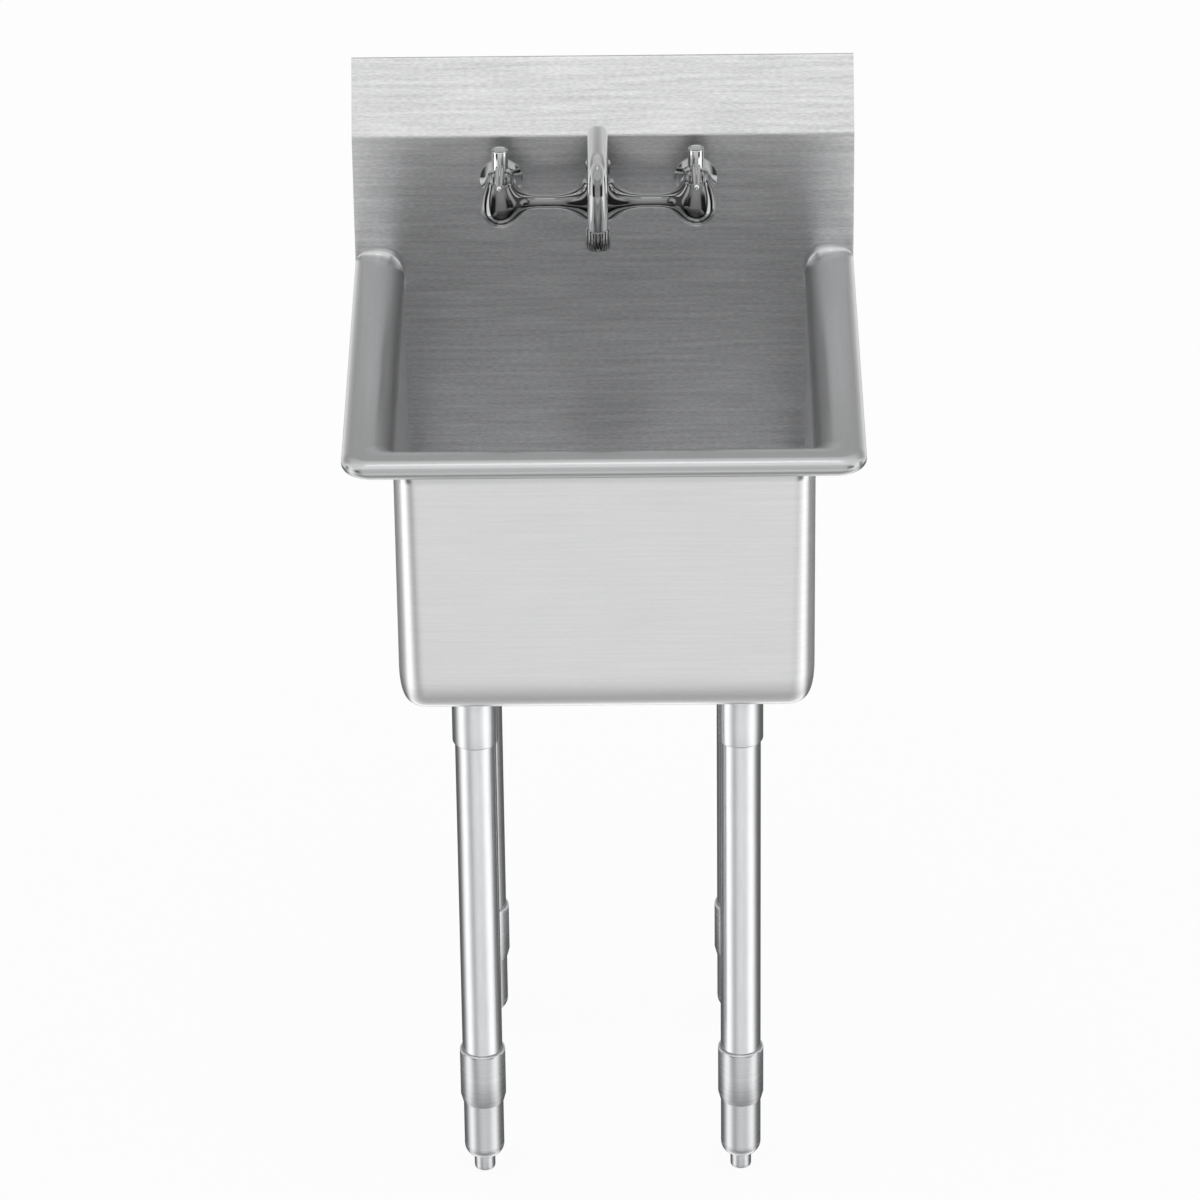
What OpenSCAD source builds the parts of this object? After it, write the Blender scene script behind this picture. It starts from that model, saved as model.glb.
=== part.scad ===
// Utility laundry sink: one pressed bowl with a rolled rim and a backsplash on four tube legs,
// a bridge tap with two quarter-turn valves and a swivel spout, and a basket strainer drain.
// The origin is on the floor, under the middle of the outer box. +Z is up and -Y is the front.

/* [Bowl] */
// Outer width of the bowl, left to right
bowl_w = 414; // [380:1:480]
// Depth of the bowl, from the outside of its front wall to the face of the backsplash
bowl_d = 408; // [340:1:480]
// Height of the bowl, from the rim's top to the underside of its floor
bowl_h = 310.5; // [220:0.5:360]
// Thickness of the sheet of bowl, rim and backsplash
sheet_t = 1.2; // [0.9:0.1:2]
// Outer radius of the upright corners
bowl_corner_r = 28; // [27:1:40]
// Outer radius of the cove between walls and floor
bowl_cove_r = 26; // [10:1:27]

/* [Rim] */
// Height of the rim's top above the floor
rim_z = 895; // [800:0.5:950]
// Width of the rim outside the bowl wall
rim_w = 48.4; // [40:0.2:60]
// Outer radius of the rolled edge
roll_r = 10; // [7:0.5:12]
// Outer radius of the bend from the rim down into the bowl
lip_r = 29; // [10:1:32]
// Outer radius of the front corners seen from above
rim_corner_r = 26; // [20:1:34]

/* [Backsplash] */
// Height of the backsplash from the rim's top to its bend
splash_h = 132.5; // [110:0.5:200]
// Length of the sloped return above the bend
return_len = 80; // [60:1:110]
// Lean of the return from upright, in degrees
return_lean = 35; // [20:1:50]
// Outer radius of the bend below the return
splash_bend_r = 5; // [3:0.5:10]
// Height of the flange that turns down behind the return
flange_h = 18; // [10:1:30]

/* [Legs] */
// Outer diameter of a leg tube
leg_od = 41.3; // [36:0.1:45]
// Wall of a leg tube
leg_wall = 1.2; // [1:0.1:2]
// Distance from the outside of the bowl's side wall to a leg's axis
leg_in_x = 73.35; // [72:0.05:85]
// Distance from the outside of the bowl's front or back wall to a leg's axis
leg_in_y = 64.7; // [62:0.05:100]
// Length of a leg socket below its channel
socket_h = 55.7; // [45:0.1:70]
// Wall of a leg socket
socket_wall = 2.3; // [1.5:0.1:3]
// Height of the channel under the bowl
channel_h = 10; // [6:0.5:20]

/* [Feet] */
// Outer diameter of the collar round the end of a leg
collar_od = 47; // [44:0.5:56]
// Height of the collar
collar_h = 63.6; // [50:0.1:80]
// Height of the collar's lower edge with the foot screwed home
collar_z = 86.6; // [70:0.1:100]
// Outer diameter of the small end of a bullet foot
tip_od = 21.6; // [16:0.2:26]
// Length of the small end of a bullet foot
tip_h = 18.6; // [12:0.2:22]
// Radius of the shoulder of a bullet foot
shoulder_r = 14; // [8:0.5:16]
// How far a foot screws out
foot_travel = 25; // [15:1:25]

/* [Drain] */
// Diameter of the hole in the bowl floor
drain_hole_d = 90; // [80:1:100]
// Outer diameter of the strainer flange
strainer_flange_d = 114; // [108:1:124]
// Depth of the strainer cup below the bowl floor
strainer_depth = 45; // [42:1:60]
// Outer diameter of the tailpiece
tail_od = 38.1; // [32:0.1:40]
// Length of the tailpiece below its nut
tail_free_h = 20; // [15:1:40]

/* [Tap] */
// Distance between the two inlets
inlet_span = 198; // [190:1:206]
// Distance of the tap's middle to the right of the sink's middle
tap_side = -5; // [-20:1:20]
// Height of the inlets above the rim's top
tap_up = 85; // [80:0.5:100]
// Distance from the backsplash to the bridge bar's axis
bar_out = 55; // [50:1:62]
// Diameter of the bridge bar
bar_d = 14.6; // [12:0.2:18]
// Diameter of a valve housing
housing_d = 41.6; // [38:0.2:46]
// Outer diameter of a wall flange
flange_od = 43.8; // [40:0.2:50]
// Outer diameter of an inlet thread
shank_od = 20.96; // [20:0.02:22]
// Outer diameter of the spout tube
spout_od = 20.4; // [18:0.2:22]
// Reach of the spout from its swivel axis to its outlet
spout_reach = 104; // [85:1:114]
// Height of the spout's level run above the inlet axis
spout_up = 84; // [76:1:130]
// Bend radius of the spout at its centreline
spout_bend_r = 24; // [18:1:30]
// Length of a lever from its valve axis
lever_len = 56; // [40:1:62]

/* [Hidden] */
$fn = 96;
// Overrun of every cut
cut = 1;
// Gap between pieces that are fitted together
seat_gap = 0.3;
// Radial clearance of a turning shaft
run_gap = 0.06;

// Overall sizes and heights worked out from the sizes above
total_w = bowl_w + 2 * rim_w;
inner_w = bowl_w - 2 * sheet_t;
inner_corner_r = bowl_corner_r - sheet_t;
top_fold_r = 3;
slope_sin = sin(return_lean);
slope_cos = cos(return_lean);
fold_y = return_len * slope_sin + top_fold_r * slope_cos;
back_reach = fold_y + top_fold_r;
total_d = rim_w + bowl_d + back_reach;
front_y = -total_d / 2;
bowl_front_y = front_y + rim_w;
splash_y = bowl_front_y + bowl_d;
bowl_y = (bowl_front_y + splash_y + sheet_t) / 2;
bowl_outer_d = bowl_d + sheet_t;
leg_span_x = bowl_w - 2 * leg_in_x;
leg_span_y = bowl_outer_d - 2 * leg_in_y;
floor_z = rim_z - bowl_h;
seam_drop = 3;
lip_skirt = seam_drop + max(0, 2 * roll_r - lip_r);
seam_z = rim_z - lip_r - lip_skirt;
roll_x = rim_w + sheet_t - roll_r;
bend_z = rim_z + splash_h;
bend_tangent = splash_bend_r * tan(return_lean / 2);
splash_bend = [splash_bend_r, bend_z - bend_tangent];
splash_fold = splash_bend + (return_len - bend_tangent) * [slope_sin, slope_cos]
  + (splash_bend_r - top_fold_r) * [-slope_cos, slope_sin];

// Drain recess pressed into the bowl floor
recess_gap = 2;
recess_r = strainer_flange_d / 2 + recess_gap;
recess_depth = 3;
recess_z = floor_z + sheet_t - recess_depth;
drain_y = bowl_y;

// Legs, sockets and channels
leg_r = leg_od / 2;
fit_gap = 0.15;
socket_r = leg_r + fit_gap + socket_wall;
socket_top_z = floor_z - channel_h;
socket_flare_r = 3;
socket_flange_r = 28.5;
socket_flange_t = 1.5;
channel_sheet = 1.6;
channel_w = 64;
channel_lip = 12;
channel_inset = 12;
screw_r = 4;
screw_boss_r = 7.5;
screw_boss_h = 5;
screw_len = 9;
screw_up = 18;
socket_edge_share = 0.9;
hex_key_r = 2.3;
hex_key_depth = 4;

// Feet: the collar's web carries the leg on top and the foot's screw in its middle
collar_r = collar_od / 2;
barrel_r = leg_r;
collar_bore_r = leg_r + seat_gap;
web_h = 8;
web_z = collar_z + foot_travel + seat_gap;
stud_r = 6;
stud_top = 14;
shell_t = 1.4;
collar_round_r = 2.5;
collar_taper_h = 8;
collar_taper_in = 2;
tip_r = tip_od / 2;
tip_round_r = 4.5;
seam_h = 0.8;
seam_cut = 0.4;

// Drain pieces
drain_hole_r = drain_hole_d / 2;
strainer_gap = 1.2;
strainer_r = drain_hole_r - strainer_gap;
strainer_wall = 1.6;
strainer_flange_t = 1.4;
gasket_t = 3;
friction_t = 1.2;
locknut_h = 12;
locknut_wall = 13;
lug_count = 6;
lug_turn_share = 0.5;
lug_w = 14;
lug_out = 5;
lug_bore_gap = 0.4;
throat_r = 23.6;
throat_wall = 2.2;
throat_h = 14;
cone_h = 8;
basket_gap = 1.5;
basket_t = 0.9;
basket_h = 32;
basket_hole_r = 1.6;
basket_hole_ring_shares = [0.3, 0.52, 0.74];
basket_hole_counts = [8, 14, 20];
stopper_t = 4;
stopper_lap = 4;
knob_foot_r = 5;
knob_foot_h = 3;
knob_stem_r = 2.5;
knob_r = 8;
knob_h = 6;
knob_up = 22;
coupling_wall = 3.2;
coupling_h = 18;
coupling_lip = 3;
coupling_rib_count = 24;
coupling_rib_r = 1.2;
tail_wall = 1;
tail_flange_t = 1.5;
tail_washer_t = 2;

// Tap, measured from the inlet axis on the face of the backsplash
tap_z = rim_z + tap_up;
bar_r = bar_d / 2;
shank_r = shank_od / 2;
shank_hole_gap = 0.8;
shank_wall = 3.5;
shank_back = 38;
relief_w = 1.5;
relief_in = 0.2;
shank_front = 12;
flange_t = 4;
flange_edge_t = 1.2;
union_h = 15;
union_flat_r = 12.3;
union_bore_gap = 0.3;
tail_pipe_r = 9.6;
shank_washer_t = 2;
shank_washer_w = 5;
shank_nut_h = 8;
shank_nut_flat_r = 15;

// Valve housings
housing_r = housing_d / 2;
housing_drop = 6.5;
housing_swell_r = 62;
housing_top = 25;
flare_r = 20;
flare_reach_share = 1.6;
flare_cap = 17.5;
cheek_r = 70;
cheek_w = 11.5;
hub_r = 12.4;
hub_low = 14.5;
hub_top = 20;
hub_fillet_r = 20;
valve_bore_r = 8.2;
valve_bore_z = -14;
valve_mouth_r = 9.8;
valve_mouth_h = 8;
bonnet_r = 12.4;
bonnet_h = 10.5;
bonnet_cap_h = 3;
bonnet_groove = 0.6;
bonnet_groove_count = 2;
stem_r = 3.4;
stem_low = 4;
stem_land = 4;
cartridge_port_r = 2.5;

// Handles, with heights above the inlet axis
grip_r = 8.25;
grip_top = 58.7;
grip_neck_r = 6.4;
grip_neck_h = 3.2;
grip_round_r = 0.8;
lever_z = 40.8;
lever_root_r = 4.7;
lever_tip_r = 3.2;
cap_r = 6.9;
cap_t = 1.6;
cap_recess = 1.8;
handle_screw_r = 2;
handle_screw_head_r = 3.8;
handle_screw_head_h = 3;
handle_screw_len = 9;

// Spout
spout_r = spout_od / 2;
spout_wall = 1.2;
spout_low = 6;
spout_bore_gap = 0.35;
nut_r = 12.9;
nut_low = hub_top;
nut_h = 24;
nut_round_r = 1.5;
seal_t = 1.7;
seal_w = 2.6;
aerator_r = 12.5;
aerator_low = 0.3;
aerator_h = 21.5;
aerator_wall = 1.6;
aerator_flutes = 16;
aerator_flute_r = 1.1;
aerator_flute_out = 0.7;
screen_t = 3;
screen_hole_r = 1;
screen_ring_share = 0.6;
screen_holes = 8;

// Part of a flat ring between two angles, up to three quarters of a turn
module sector(r_out, r_in, from, to) {
  steps = 3;
  difference() {
    intersection() {
      circle(r_out);
      polygon(concat([[0, 0]], [for (k = [0:steps])
        let (a = from + (to - from) * k / steps) [2 * r_out * cos(a), 2 * r_out * sin(a)]]));
    }
    circle(r_in);
  }
}

// Straight tube along Z
module tube(r_out, r_in, h) {
  difference() {
    cylinder(r = r_out, h = h);
    translate([0, 0, -cut]) cylinder(r = r_in, h = h + 2 * cut);
  }
}

// Hexagon bar with the given distance from axis to flat
module hex_bar(flat_r, h) {
  cylinder(r = flat_r / cos(30), h = h, $fn = 6);
}

// Wall and cove of a pressed pan, seen at its corner
module pan_profile(r, h, cove_r) {
  difference() {
    square([r, h]);
    translate([r - cove_r, 0]) difference() {
      translate([0, -cut]) square([cove_r + cut, cove_r + cut]);
      translate([0, cove_r]) circle(cove_r);
    }
  }
}

// Solid pan with round upright corners and a coved lower edge
module pan(w, d, h, r, cove_r) {
  for (k = [0:3]) {
    long = k % 2 == 0 ? d : w;
    wide = k % 2 == 0 ? w : d;
    rotate([0, 0, 90 * k]) {
      translate([wide / 2 - r, 0, 0]) rotate([90, 0, 0])
        linear_extrude(long - 2 * r, center = true) pan_profile(r, h, cove_r);
      translate([wide / 2 - r, long / 2 - r, 0])
        rotate_extrude(angle = 90) pan_profile(r, h, cove_r);
    }
  }
  translate([-(w / 2 - r), -(d / 2 - r), 0]) cube([w - 2 * r, d - 2 * r, h]);
}

// Pressed bowl, open at the back where the backsplash sheet runs down behind it
module bowl() color("silver") {
  deep = bowl_d + bowl_corner_r;
  mid_y = bowl_front_y + deep / 2;
  difference() {
    union() {
      translate([0, mid_y, floor_z])
        pan(bowl_w, deep, seam_z - floor_z, bowl_corner_r, bowl_cove_r);
      translate([0, drain_y, recess_z - sheet_t])
        cylinder(r = recess_r + sheet_t, h = recess_depth + sheet_t);
    }
    translate([0, mid_y, floor_z + sheet_t])
      pan(inner_w, deep - 2 * sheet_t, seam_z - floor_z, inner_corner_r, bowl_cove_r - sheet_t);
    translate([0, drain_y, recess_z]) cylinder(r = recess_r, h = recess_depth + cut);
    translate([0, drain_y, recess_z - sheet_t - cut])
      cylinder(r = drain_hole_r, h = recess_depth + 2 * cut);
    translate([-bowl_w, splash_y, floor_z - cut]) cube([2 * bowl_w, bowl_w, bowl_h + cut]);
  }
}

// Sheet that rises out of the bowl wall and bends outward, measured from the wall's inner face
module lip_profile() {
  translate([0, -lip_r - lip_skirt]) square([sheet_t, lip_skirt]);
  translate([lip_r, -lip_r]) sector(lip_r, lip_r - sheet_t, 90, 180);
}

// Outer edge of the rim, rolled over and turned in below
module roll_profile() {
  sector(roll_r, roll_r - sheet_t, -90, 90);
  translate([-roll_r / 2, -roll_r]) square([roll_r / 2, sheet_t]);
}

// Whole section of the rim: bend out of the bowl, flat and rolled edge
module rim_section() {
  lip_profile();
  translate([lip_r, -sheet_t]) square([roll_x - lip_r, sheet_t]);
  translate([roll_x, -roll_r]) roll_profile();
}

// Front corner of the rim about the bowl's corner axis: the bend turns with the bowl's corner
// and the rolled edge turns on its own tighter radius
module rim_corner() {
  edge = inner_corner_r + roll_x;
  turn = edge + roll_r - rim_corner_r;
  intersection() {
    rotate_extrude(angle = 90) translate([inner_corner_r, 0]) {
      lip_profile();
      translate([lip_r, -sheet_t]) square([edge, sheet_t]);
    }
    translate([0, 0, -bowl_h / 2]) linear_extrude(bowl_h)
      polygon([[0, 0], [edge, 0], [edge, turn], [turn, turn], [turn, edge], [0, edge]]);
  }
  for (s = [0, 1]) mirror([s, -s, 0]) translate([edge, turn, -roll_r]) rotate([90, 0, 0])
    linear_extrude(turn) roll_profile();
  translate([turn, turn, 0]) rotate_extrude(angle = 90) {
    translate([0, -sheet_t]) square([rim_corner_r - roll_r, sheet_t]);
    translate([rim_corner_r - roll_r, -roll_r]) roll_profile();
  }
}

// Rim on three sides of the bowl, ending against the backsplash
module rolled_rim() color("gainsboro") {
  axis_x = bowl_w / 2 - bowl_corner_r;
  axis_y = bowl_front_y + bowl_corner_r;
  for (s = [0, 1]) mirror([s, 0, 0]) {
    translate([axis_x, axis_y, rim_z]) mirror([0, 1, 0]) rim_corner();
    translate([inner_w / 2, splash_y, rim_z]) rotate([90, 0, 0])
      linear_extrude(splash_y - axis_y) rim_section();
  }
  translate([-axis_x, bowl_front_y + sheet_t, rim_z]) rotate([90, 0, 90])
    linear_extrude(2 * axis_x) mirror([1, 0]) rim_section();
}

// Solid outline of the backsplash seen from the side, set in from its outer skin: x is the way
// back, y is up, and it reaches down below the sheet's lower edge by the given overrun
module splash_outline(inset, over) {
  low = rim_z - 2 * roll_r - over;
  out = [-slope_cos, slope_sin];
  polygon([[inset, low], [inset, splash_bend[1]], splash_bend,
    splash_bend + (splash_bend_r - inset) * out, splash_fold + (top_fold_r - inset) * out,
    splash_fold, [back_reach - inset, splash_fold[1]], [back_reach - inset, low]]);
  translate(splash_bend) circle(splash_bend_r - inset);
  translate(splash_fold) circle(top_fold_r - inset);
}

// Bent sheet between two such outlines, with the flange behind the return cut to its length
module splash_profile() {
  low = rim_z - 2 * roll_r;
  difference() {
    splash_outline(0, 0);
    splash_outline(sheet_t, cut);
    translate([splash_fold[0], low - cut])
      square([top_fold_r + cut, splash_fold[1] - flange_h - low + cut]);
  }
}

// Outline of the bowl's back wall, seen from the front, from its floor up
module back_wall(w, h, cove_r) {
  difference() {
    translate([-w / 2, 0]) square([w, h]);
    for (s = [0, 1]) mirror([s, 0]) translate([w / 2 - cove_r, 0]) difference() {
      translate([0, -cut]) square([cove_r + cut, cove_r + cut]);
      translate([0, cove_r]) circle(cove_r);
    }
  }
}

// One sheet from the bowl's floor up to the return, with the holes for the tap's shanks; its
// upper and lower widths overlap by the overrun
module backsplash() color("darkgray") {
  difference() {
    translate([0, splash_y, 0]) rotate([90, 0, 90])
      linear_extrude(total_w, center = true) splash_profile();
    for (x = [-1, 1]) at_tap(x * inlet_span / 2) translate([0, -cut, 0]) rotate([-90, 0, 0])
      cylinder(r = shank_r + shank_hole_gap, h = sheet_t + 2 * cut);
  }
  translate([0, splash_y + sheet_t, floor_z]) rotate([90, 0, 0]) linear_extrude(sheet_t)
    back_wall(bowl_w, rim_z - 2 * roll_r - floor_z + cut, bowl_cove_r);
}

// Folded channel with outward lips, welded under the bowl from front to back
module channel(x) color("darkgray") {
  long = bowl_outer_d - 2 * (bowl_cove_r + channel_inset);
  translate([x, bowl_y, floor_z]) rotate([90, 0, 0]) linear_extrude(long, center = true) {
    translate([-channel_w / 2, -channel_h]) square([channel_w, channel_sheet]);
    for (s = [-1, 1]) {
      translate([s * (channel_w - channel_sheet) / 2 - channel_sheet / 2, -channel_h])
        square([channel_sheet, channel_h]);
      translate([s * (channel_w + channel_lip) / 2 - channel_lip / 2, -channel_sheet])
        square([channel_lip, channel_sheet]);
    }
  }
}

// Stamped cup with a flared flange, welded under a channel, and the boss for its set screw
module leg_socket(x, y) color("lightgray") {
  low = socket_top_z - socket_h;
  flare_z = socket_top_z - socket_flange_t - socket_flare_r;
  boss_reach = socket_r + screw_boss_h;
  edge_r = socket_wall * socket_edge_share;
  translate([x, y, 0]) difference() {
    union() {
      translate([0, 0, low]) rotate_extrude() difference() {
        square([socket_r, socket_top_z - low]);
        translate([socket_r - edge_r, 0]) difference() {
          translate([0, -cut]) square([edge_r + cut, edge_r + cut]);
          translate([0, edge_r]) circle(edge_r);
        }
      }
      rotate_extrude() difference() {
        translate([0, flare_z]) square([socket_flange_r, socket_top_z - flare_z]);
        translate([socket_r + socket_flare_r, flare_z]) circle(socket_flare_r);
        translate([socket_r + socket_flare_r, flare_z - cut])
          square([socket_flange_r, socket_flare_r + cut]);
      }
      translate([0, 0, low + screw_up]) rotate([-90, 0, 0])
        cylinder(r = screw_boss_r, h = boss_reach);
    }
    translate([0, 0, low + screw_up]) rotate([-90, 0, 0])
      cylinder(r = screw_r + run_gap, h = boss_reach + cut);
    translate([0, 0, low - cut])
      cylinder(r = socket_r - socket_wall, h = socket_h + 2 * cut);
  }
}

module set_screw(x, y) {
  translate([x, y + leg_r, socket_top_z - socket_h + screw_up]) rotate([-90, 0, 0]) difference() {
    cylinder(r = screw_r, h = screw_len);
    translate([0, 0, screw_len - hex_key_depth]) hex_bar(hex_key_r, hex_key_depth + cut);
  }
}

module socket_set_screws() color("dimgray") {
  for (x = [-1, 1], y = [-1, 1]) set_screw(x * leg_span_x / 2, bowl_y + y * leg_span_y / 2);
}

module leg(x, y) color("silver") {
  translate([x, y, web_z + web_h]) tube(leg_r, leg_r - leg_wall, socket_top_z - web_z - web_h);
}

// Turned collar: leg in its upper bore, screw in its web, foot barrel in its lower bore
module collar(x, y) color("gray") {
  top = collar_z + collar_h;
  translate([x, y, 0]) rotate_extrude() difference() {
    union() {
      translate([0, collar_z + collar_taper_h])
        square([collar_r, collar_h - collar_taper_h - collar_round_r]);
      polygon([[0, collar_z], [collar_r - collar_taper_in, collar_z],
        [collar_r, collar_z + collar_taper_h], [0, collar_z + collar_taper_h]]);
      translate([0, top - collar_round_r]) square([collar_r - collar_round_r, collar_round_r]);
      translate([collar_r - collar_round_r, top - collar_round_r]) intersection() {
        circle(collar_round_r);
        square([collar_round_r, collar_round_r]);
      }
    }
    translate([0, collar_z - cut]) square([collar_bore_r, web_z - collar_z + cut]);
    translate([0, web_z - cut]) square([stud_r + run_gap, web_h + 2 * cut]);
    translate([0, web_z + web_h]) square([collar_bore_r, collar_h]);
  }
}

// Pressed bullet foot: barrel, round shoulder and small end in one shell, with its screw
module foot(x, y) color("silver") {
  barrel_top = web_z - seat_gap;
  shoulder_x = barrel_r - shoulder_r;
  shoulder_rise = sqrt(pow(shoulder_r, 2) - pow(tip_r - shoulder_x, 2));
  barrel_z = tip_h + shoulder_rise;
  translate([x, y, 0]) rotate_extrude() {
    difference() {
      union() {
        translate([0, barrel_z]) square([barrel_r, barrel_top - barrel_z]);
        intersection() {
          translate([shoulder_x, barrel_z]) circle(shoulder_r);
          translate([0, tip_h]) square([barrel_r, shoulder_rise]);
        }
        translate([0, tip_h]) square([shoulder_x, shoulder_rise]);
        translate([0, tip_round_r]) square([tip_r, tip_h - tip_round_r]);
        square([tip_r - tip_round_r, tip_round_r]);
        translate([tip_r - tip_round_r, tip_round_r]) intersection() {
          circle(tip_round_r);
          translate([0, -tip_round_r]) square([tip_round_r, tip_round_r]);
        }
      }
      translate([stud_r, barrel_z]) square([barrel_r - shell_t - stud_r, barrel_top - barrel_z - shell_t]);
      translate([barrel_r - seam_cut, barrel_z + seam_h]) square([seam_cut + cut, seam_h]);
    }
    translate([0, barrel_top - cut]) square([stud_r, web_h + stud_top + foot_travel + cut]);
  }
}

// Drain heights, from the recess down
flange_z = recess_z;
gasket_z = recess_z - sheet_t - gasket_t;
friction_z = gasket_z - friction_t;
locknut_z = friction_z - locknut_h;
cup_low_z = floor_z - strainer_depth;
throat_top_z = cup_low_z - cone_h;
throat_z = throat_top_z - throat_h;
seat_z = cup_low_z + strainer_wall;

// Turned strainer in one outline: flange in the recess, cup through the hole, cone and threaded throat below
module strainer_body() color("silver") {
  flange_r = strainer_flange_d / 2;
  top = flange_z + strainer_flange_t;
  cup_in_r = strainer_r - strainer_wall;
  throat_in_r = throat_r - throat_wall;
  translate([0, drain_y, 0]) rotate_extrude()
    polygon([[throat_in_r, throat_z], [throat_r, throat_z], [throat_r, throat_top_z],
      [strainer_r, cup_low_z], [strainer_r, flange_z], [flange_r, flange_z], [flange_r, top],
      [cup_in_r, top], [cup_in_r, seat_z], [throat_in_r, seat_z]]);
}

module drain_gasket() color("black") {
  translate([0, drain_y, gasket_z])
    tube(recess_r, strainer_r + seat_gap, gasket_t);
}

module friction_ring() color("wheat") {
  translate([0, drain_y, friction_z])
    tube(recess_r, strainer_r + seat_gap, friction_t);
}

// Cast locknut with lugs for a spanner
module drain_locknut() color("dimgray") {
  translate([0, drain_y, locknut_z]) linear_extrude(locknut_h) difference() {
    union() {
      circle(strainer_r + locknut_wall);
      for (k = [0:lug_count - 1]) rotate(360 / lug_count * (k + lug_turn_share))
        translate([strainer_r, -lug_w / 2]) square([locknut_wall + lug_out, lug_w]);
    }
    circle(strainer_r + lug_bore_gap);
  }
}

tail_top_z = throat_z - tail_washer_t;
coupling_z = tail_top_z - tail_flange_t - coupling_lip;

module tail_washer() color("white") {
  translate([0, drain_y, tail_top_z]) tube(throat_r, tail_od / 2 - tail_wall, tail_washer_t);
}

// Flanged pipe held under the strainer by the coupling nut, at its full diameter below the nut
module tailpiece() color("gainsboro") {
  low = coupling_z - tail_free_h;
  long = tail_top_z - low;
  translate([0, drain_y, low]) difference() {
    union() {
      cylinder(r = tail_od / 2, h = tail_free_h - relief_w);
      cylinder(r = tail_od / 2 - relief_in, h = long);
      translate([0, 0, long - tail_flange_t]) cylinder(r = throat_r, h = tail_flange_t);
    }
    translate([0, 0, -cut]) cylinder(r = tail_od / 2 - tail_wall, h = long + 2 * cut);
  }
}

module coupling_nut() color("dimgray") {
  outer_r = throat_r + seat_gap + coupling_wall;
  translate([0, drain_y, coupling_z]) difference() {
    union() {
      cylinder(r = outer_r, h = coupling_h);
      for (k = [0:coupling_rib_count - 1]) rotate([0, 0, 360 / coupling_rib_count * k])
        translate([outer_r, 0, 0]) cylinder(r = coupling_rib_r, h = coupling_h, $fn = 24);
    }
    translate([0, 0, coupling_lip]) cylinder(r = throat_r + seat_gap, h = coupling_h);
    translate([0, 0, -cut]) cylinder(r = tail_od / 2 + seat_gap, h = coupling_h);
  }
}

basket_r = strainer_r - strainer_wall - basket_gap;
basket_floor_z = seat_z + stopper_t + seat_gap;

// Spun basket with rings of holes in its floor
module strainer_basket() color("silver") {
  translate([0, drain_y, basket_floor_z]) difference() {
    union() {
      tube(basket_r, basket_r - basket_t, basket_h);
      cylinder(r = basket_r, h = basket_t);
    }
    translate([0, 0, -cut]) cylinder(r = knob_stem_r + run_gap, h = 3 * cut);
    for (ring_no = [0:len(basket_hole_counts) - 1])
      for (k = [0:basket_hole_counts[ring_no] - 1])
        rotate([0, 0, 360 / basket_hole_counts[ring_no] * k])
          translate([basket_r * basket_hole_ring_shares[ring_no], 0, -cut])
            cylinder(r = basket_hole_r, h = 3 * cut, $fn = 24);
  }
}

module basket_stopper() color("black") {
  translate([0, drain_y, seat_z])
    tube(throat_r - throat_wall + stopper_lap, knob_stem_r + run_gap, stopper_t);
}

module basket_knob() color("silver") {
  translate([0, drain_y, seat_z]) {
    translate([0, 0, -knob_foot_h]) cylinder(r = knob_foot_r, h = knob_foot_h);
    cylinder(r = knob_stem_r, h = knob_up);
    translate([0, 0, knob_up - knob_h]) rotate_extrude() intersection() {
      square([knob_r, knob_h]);
      circle(r = sqrt(pow(knob_r, 2) + pow(knob_h / 2, 2)));
    }
  }
}

// Places its children with x across, y out of the backsplash towards the back, z up
module at_tap(x) {
  translate([tap_side + x, splash_y, tap_z]) children();
}

// Side outline of a blend from a bar into a round body: half width at the far end is half_w
module blend_half(half_w, long, r, cap) {
  difference() {
    square([long, cap]);
    translate([long, half_w + r]) circle(r);
    translate([long - cut, half_w]) square([2 * cut, cap]);
  }
}

// Blend of the bridge bar into an upright body, along +X from the body's axis
module arm_blend(long, r, cap, plan_r, plan_cap) {
  intersection() {
    rotate([0, 90, 0]) rotate_extrude() mirror([1, -1]) blend_half(bar_r, long, r, cap);
    linear_extrude(2 * cap, center = true) for (s = [0, 1]) mirror([0, s])
      blend_half(bar_r, long, plan_r, plan_cap);
  }
}

// One pear-shaped valve housing on the bridge, with its tail pipe to the wall
module valve_housing() {
  rotate_extrude() {
    intersection() {
      translate([0, -housing_drop]) circle(housing_r);
      translate([0, -housing_drop - housing_r]) square([housing_r, housing_r]);
    }
    intersection() {
      translate([housing_r - housing_swell_r, -housing_drop]) circle(housing_swell_r);
      translate([0, -housing_drop]) square([housing_r, housing_top + housing_drop]);
    }
  }
  rotate([-90, 0, 0]) cylinder(r = tail_pipe_r, h = bar_out - shank_front - seat_gap);
}

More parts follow.
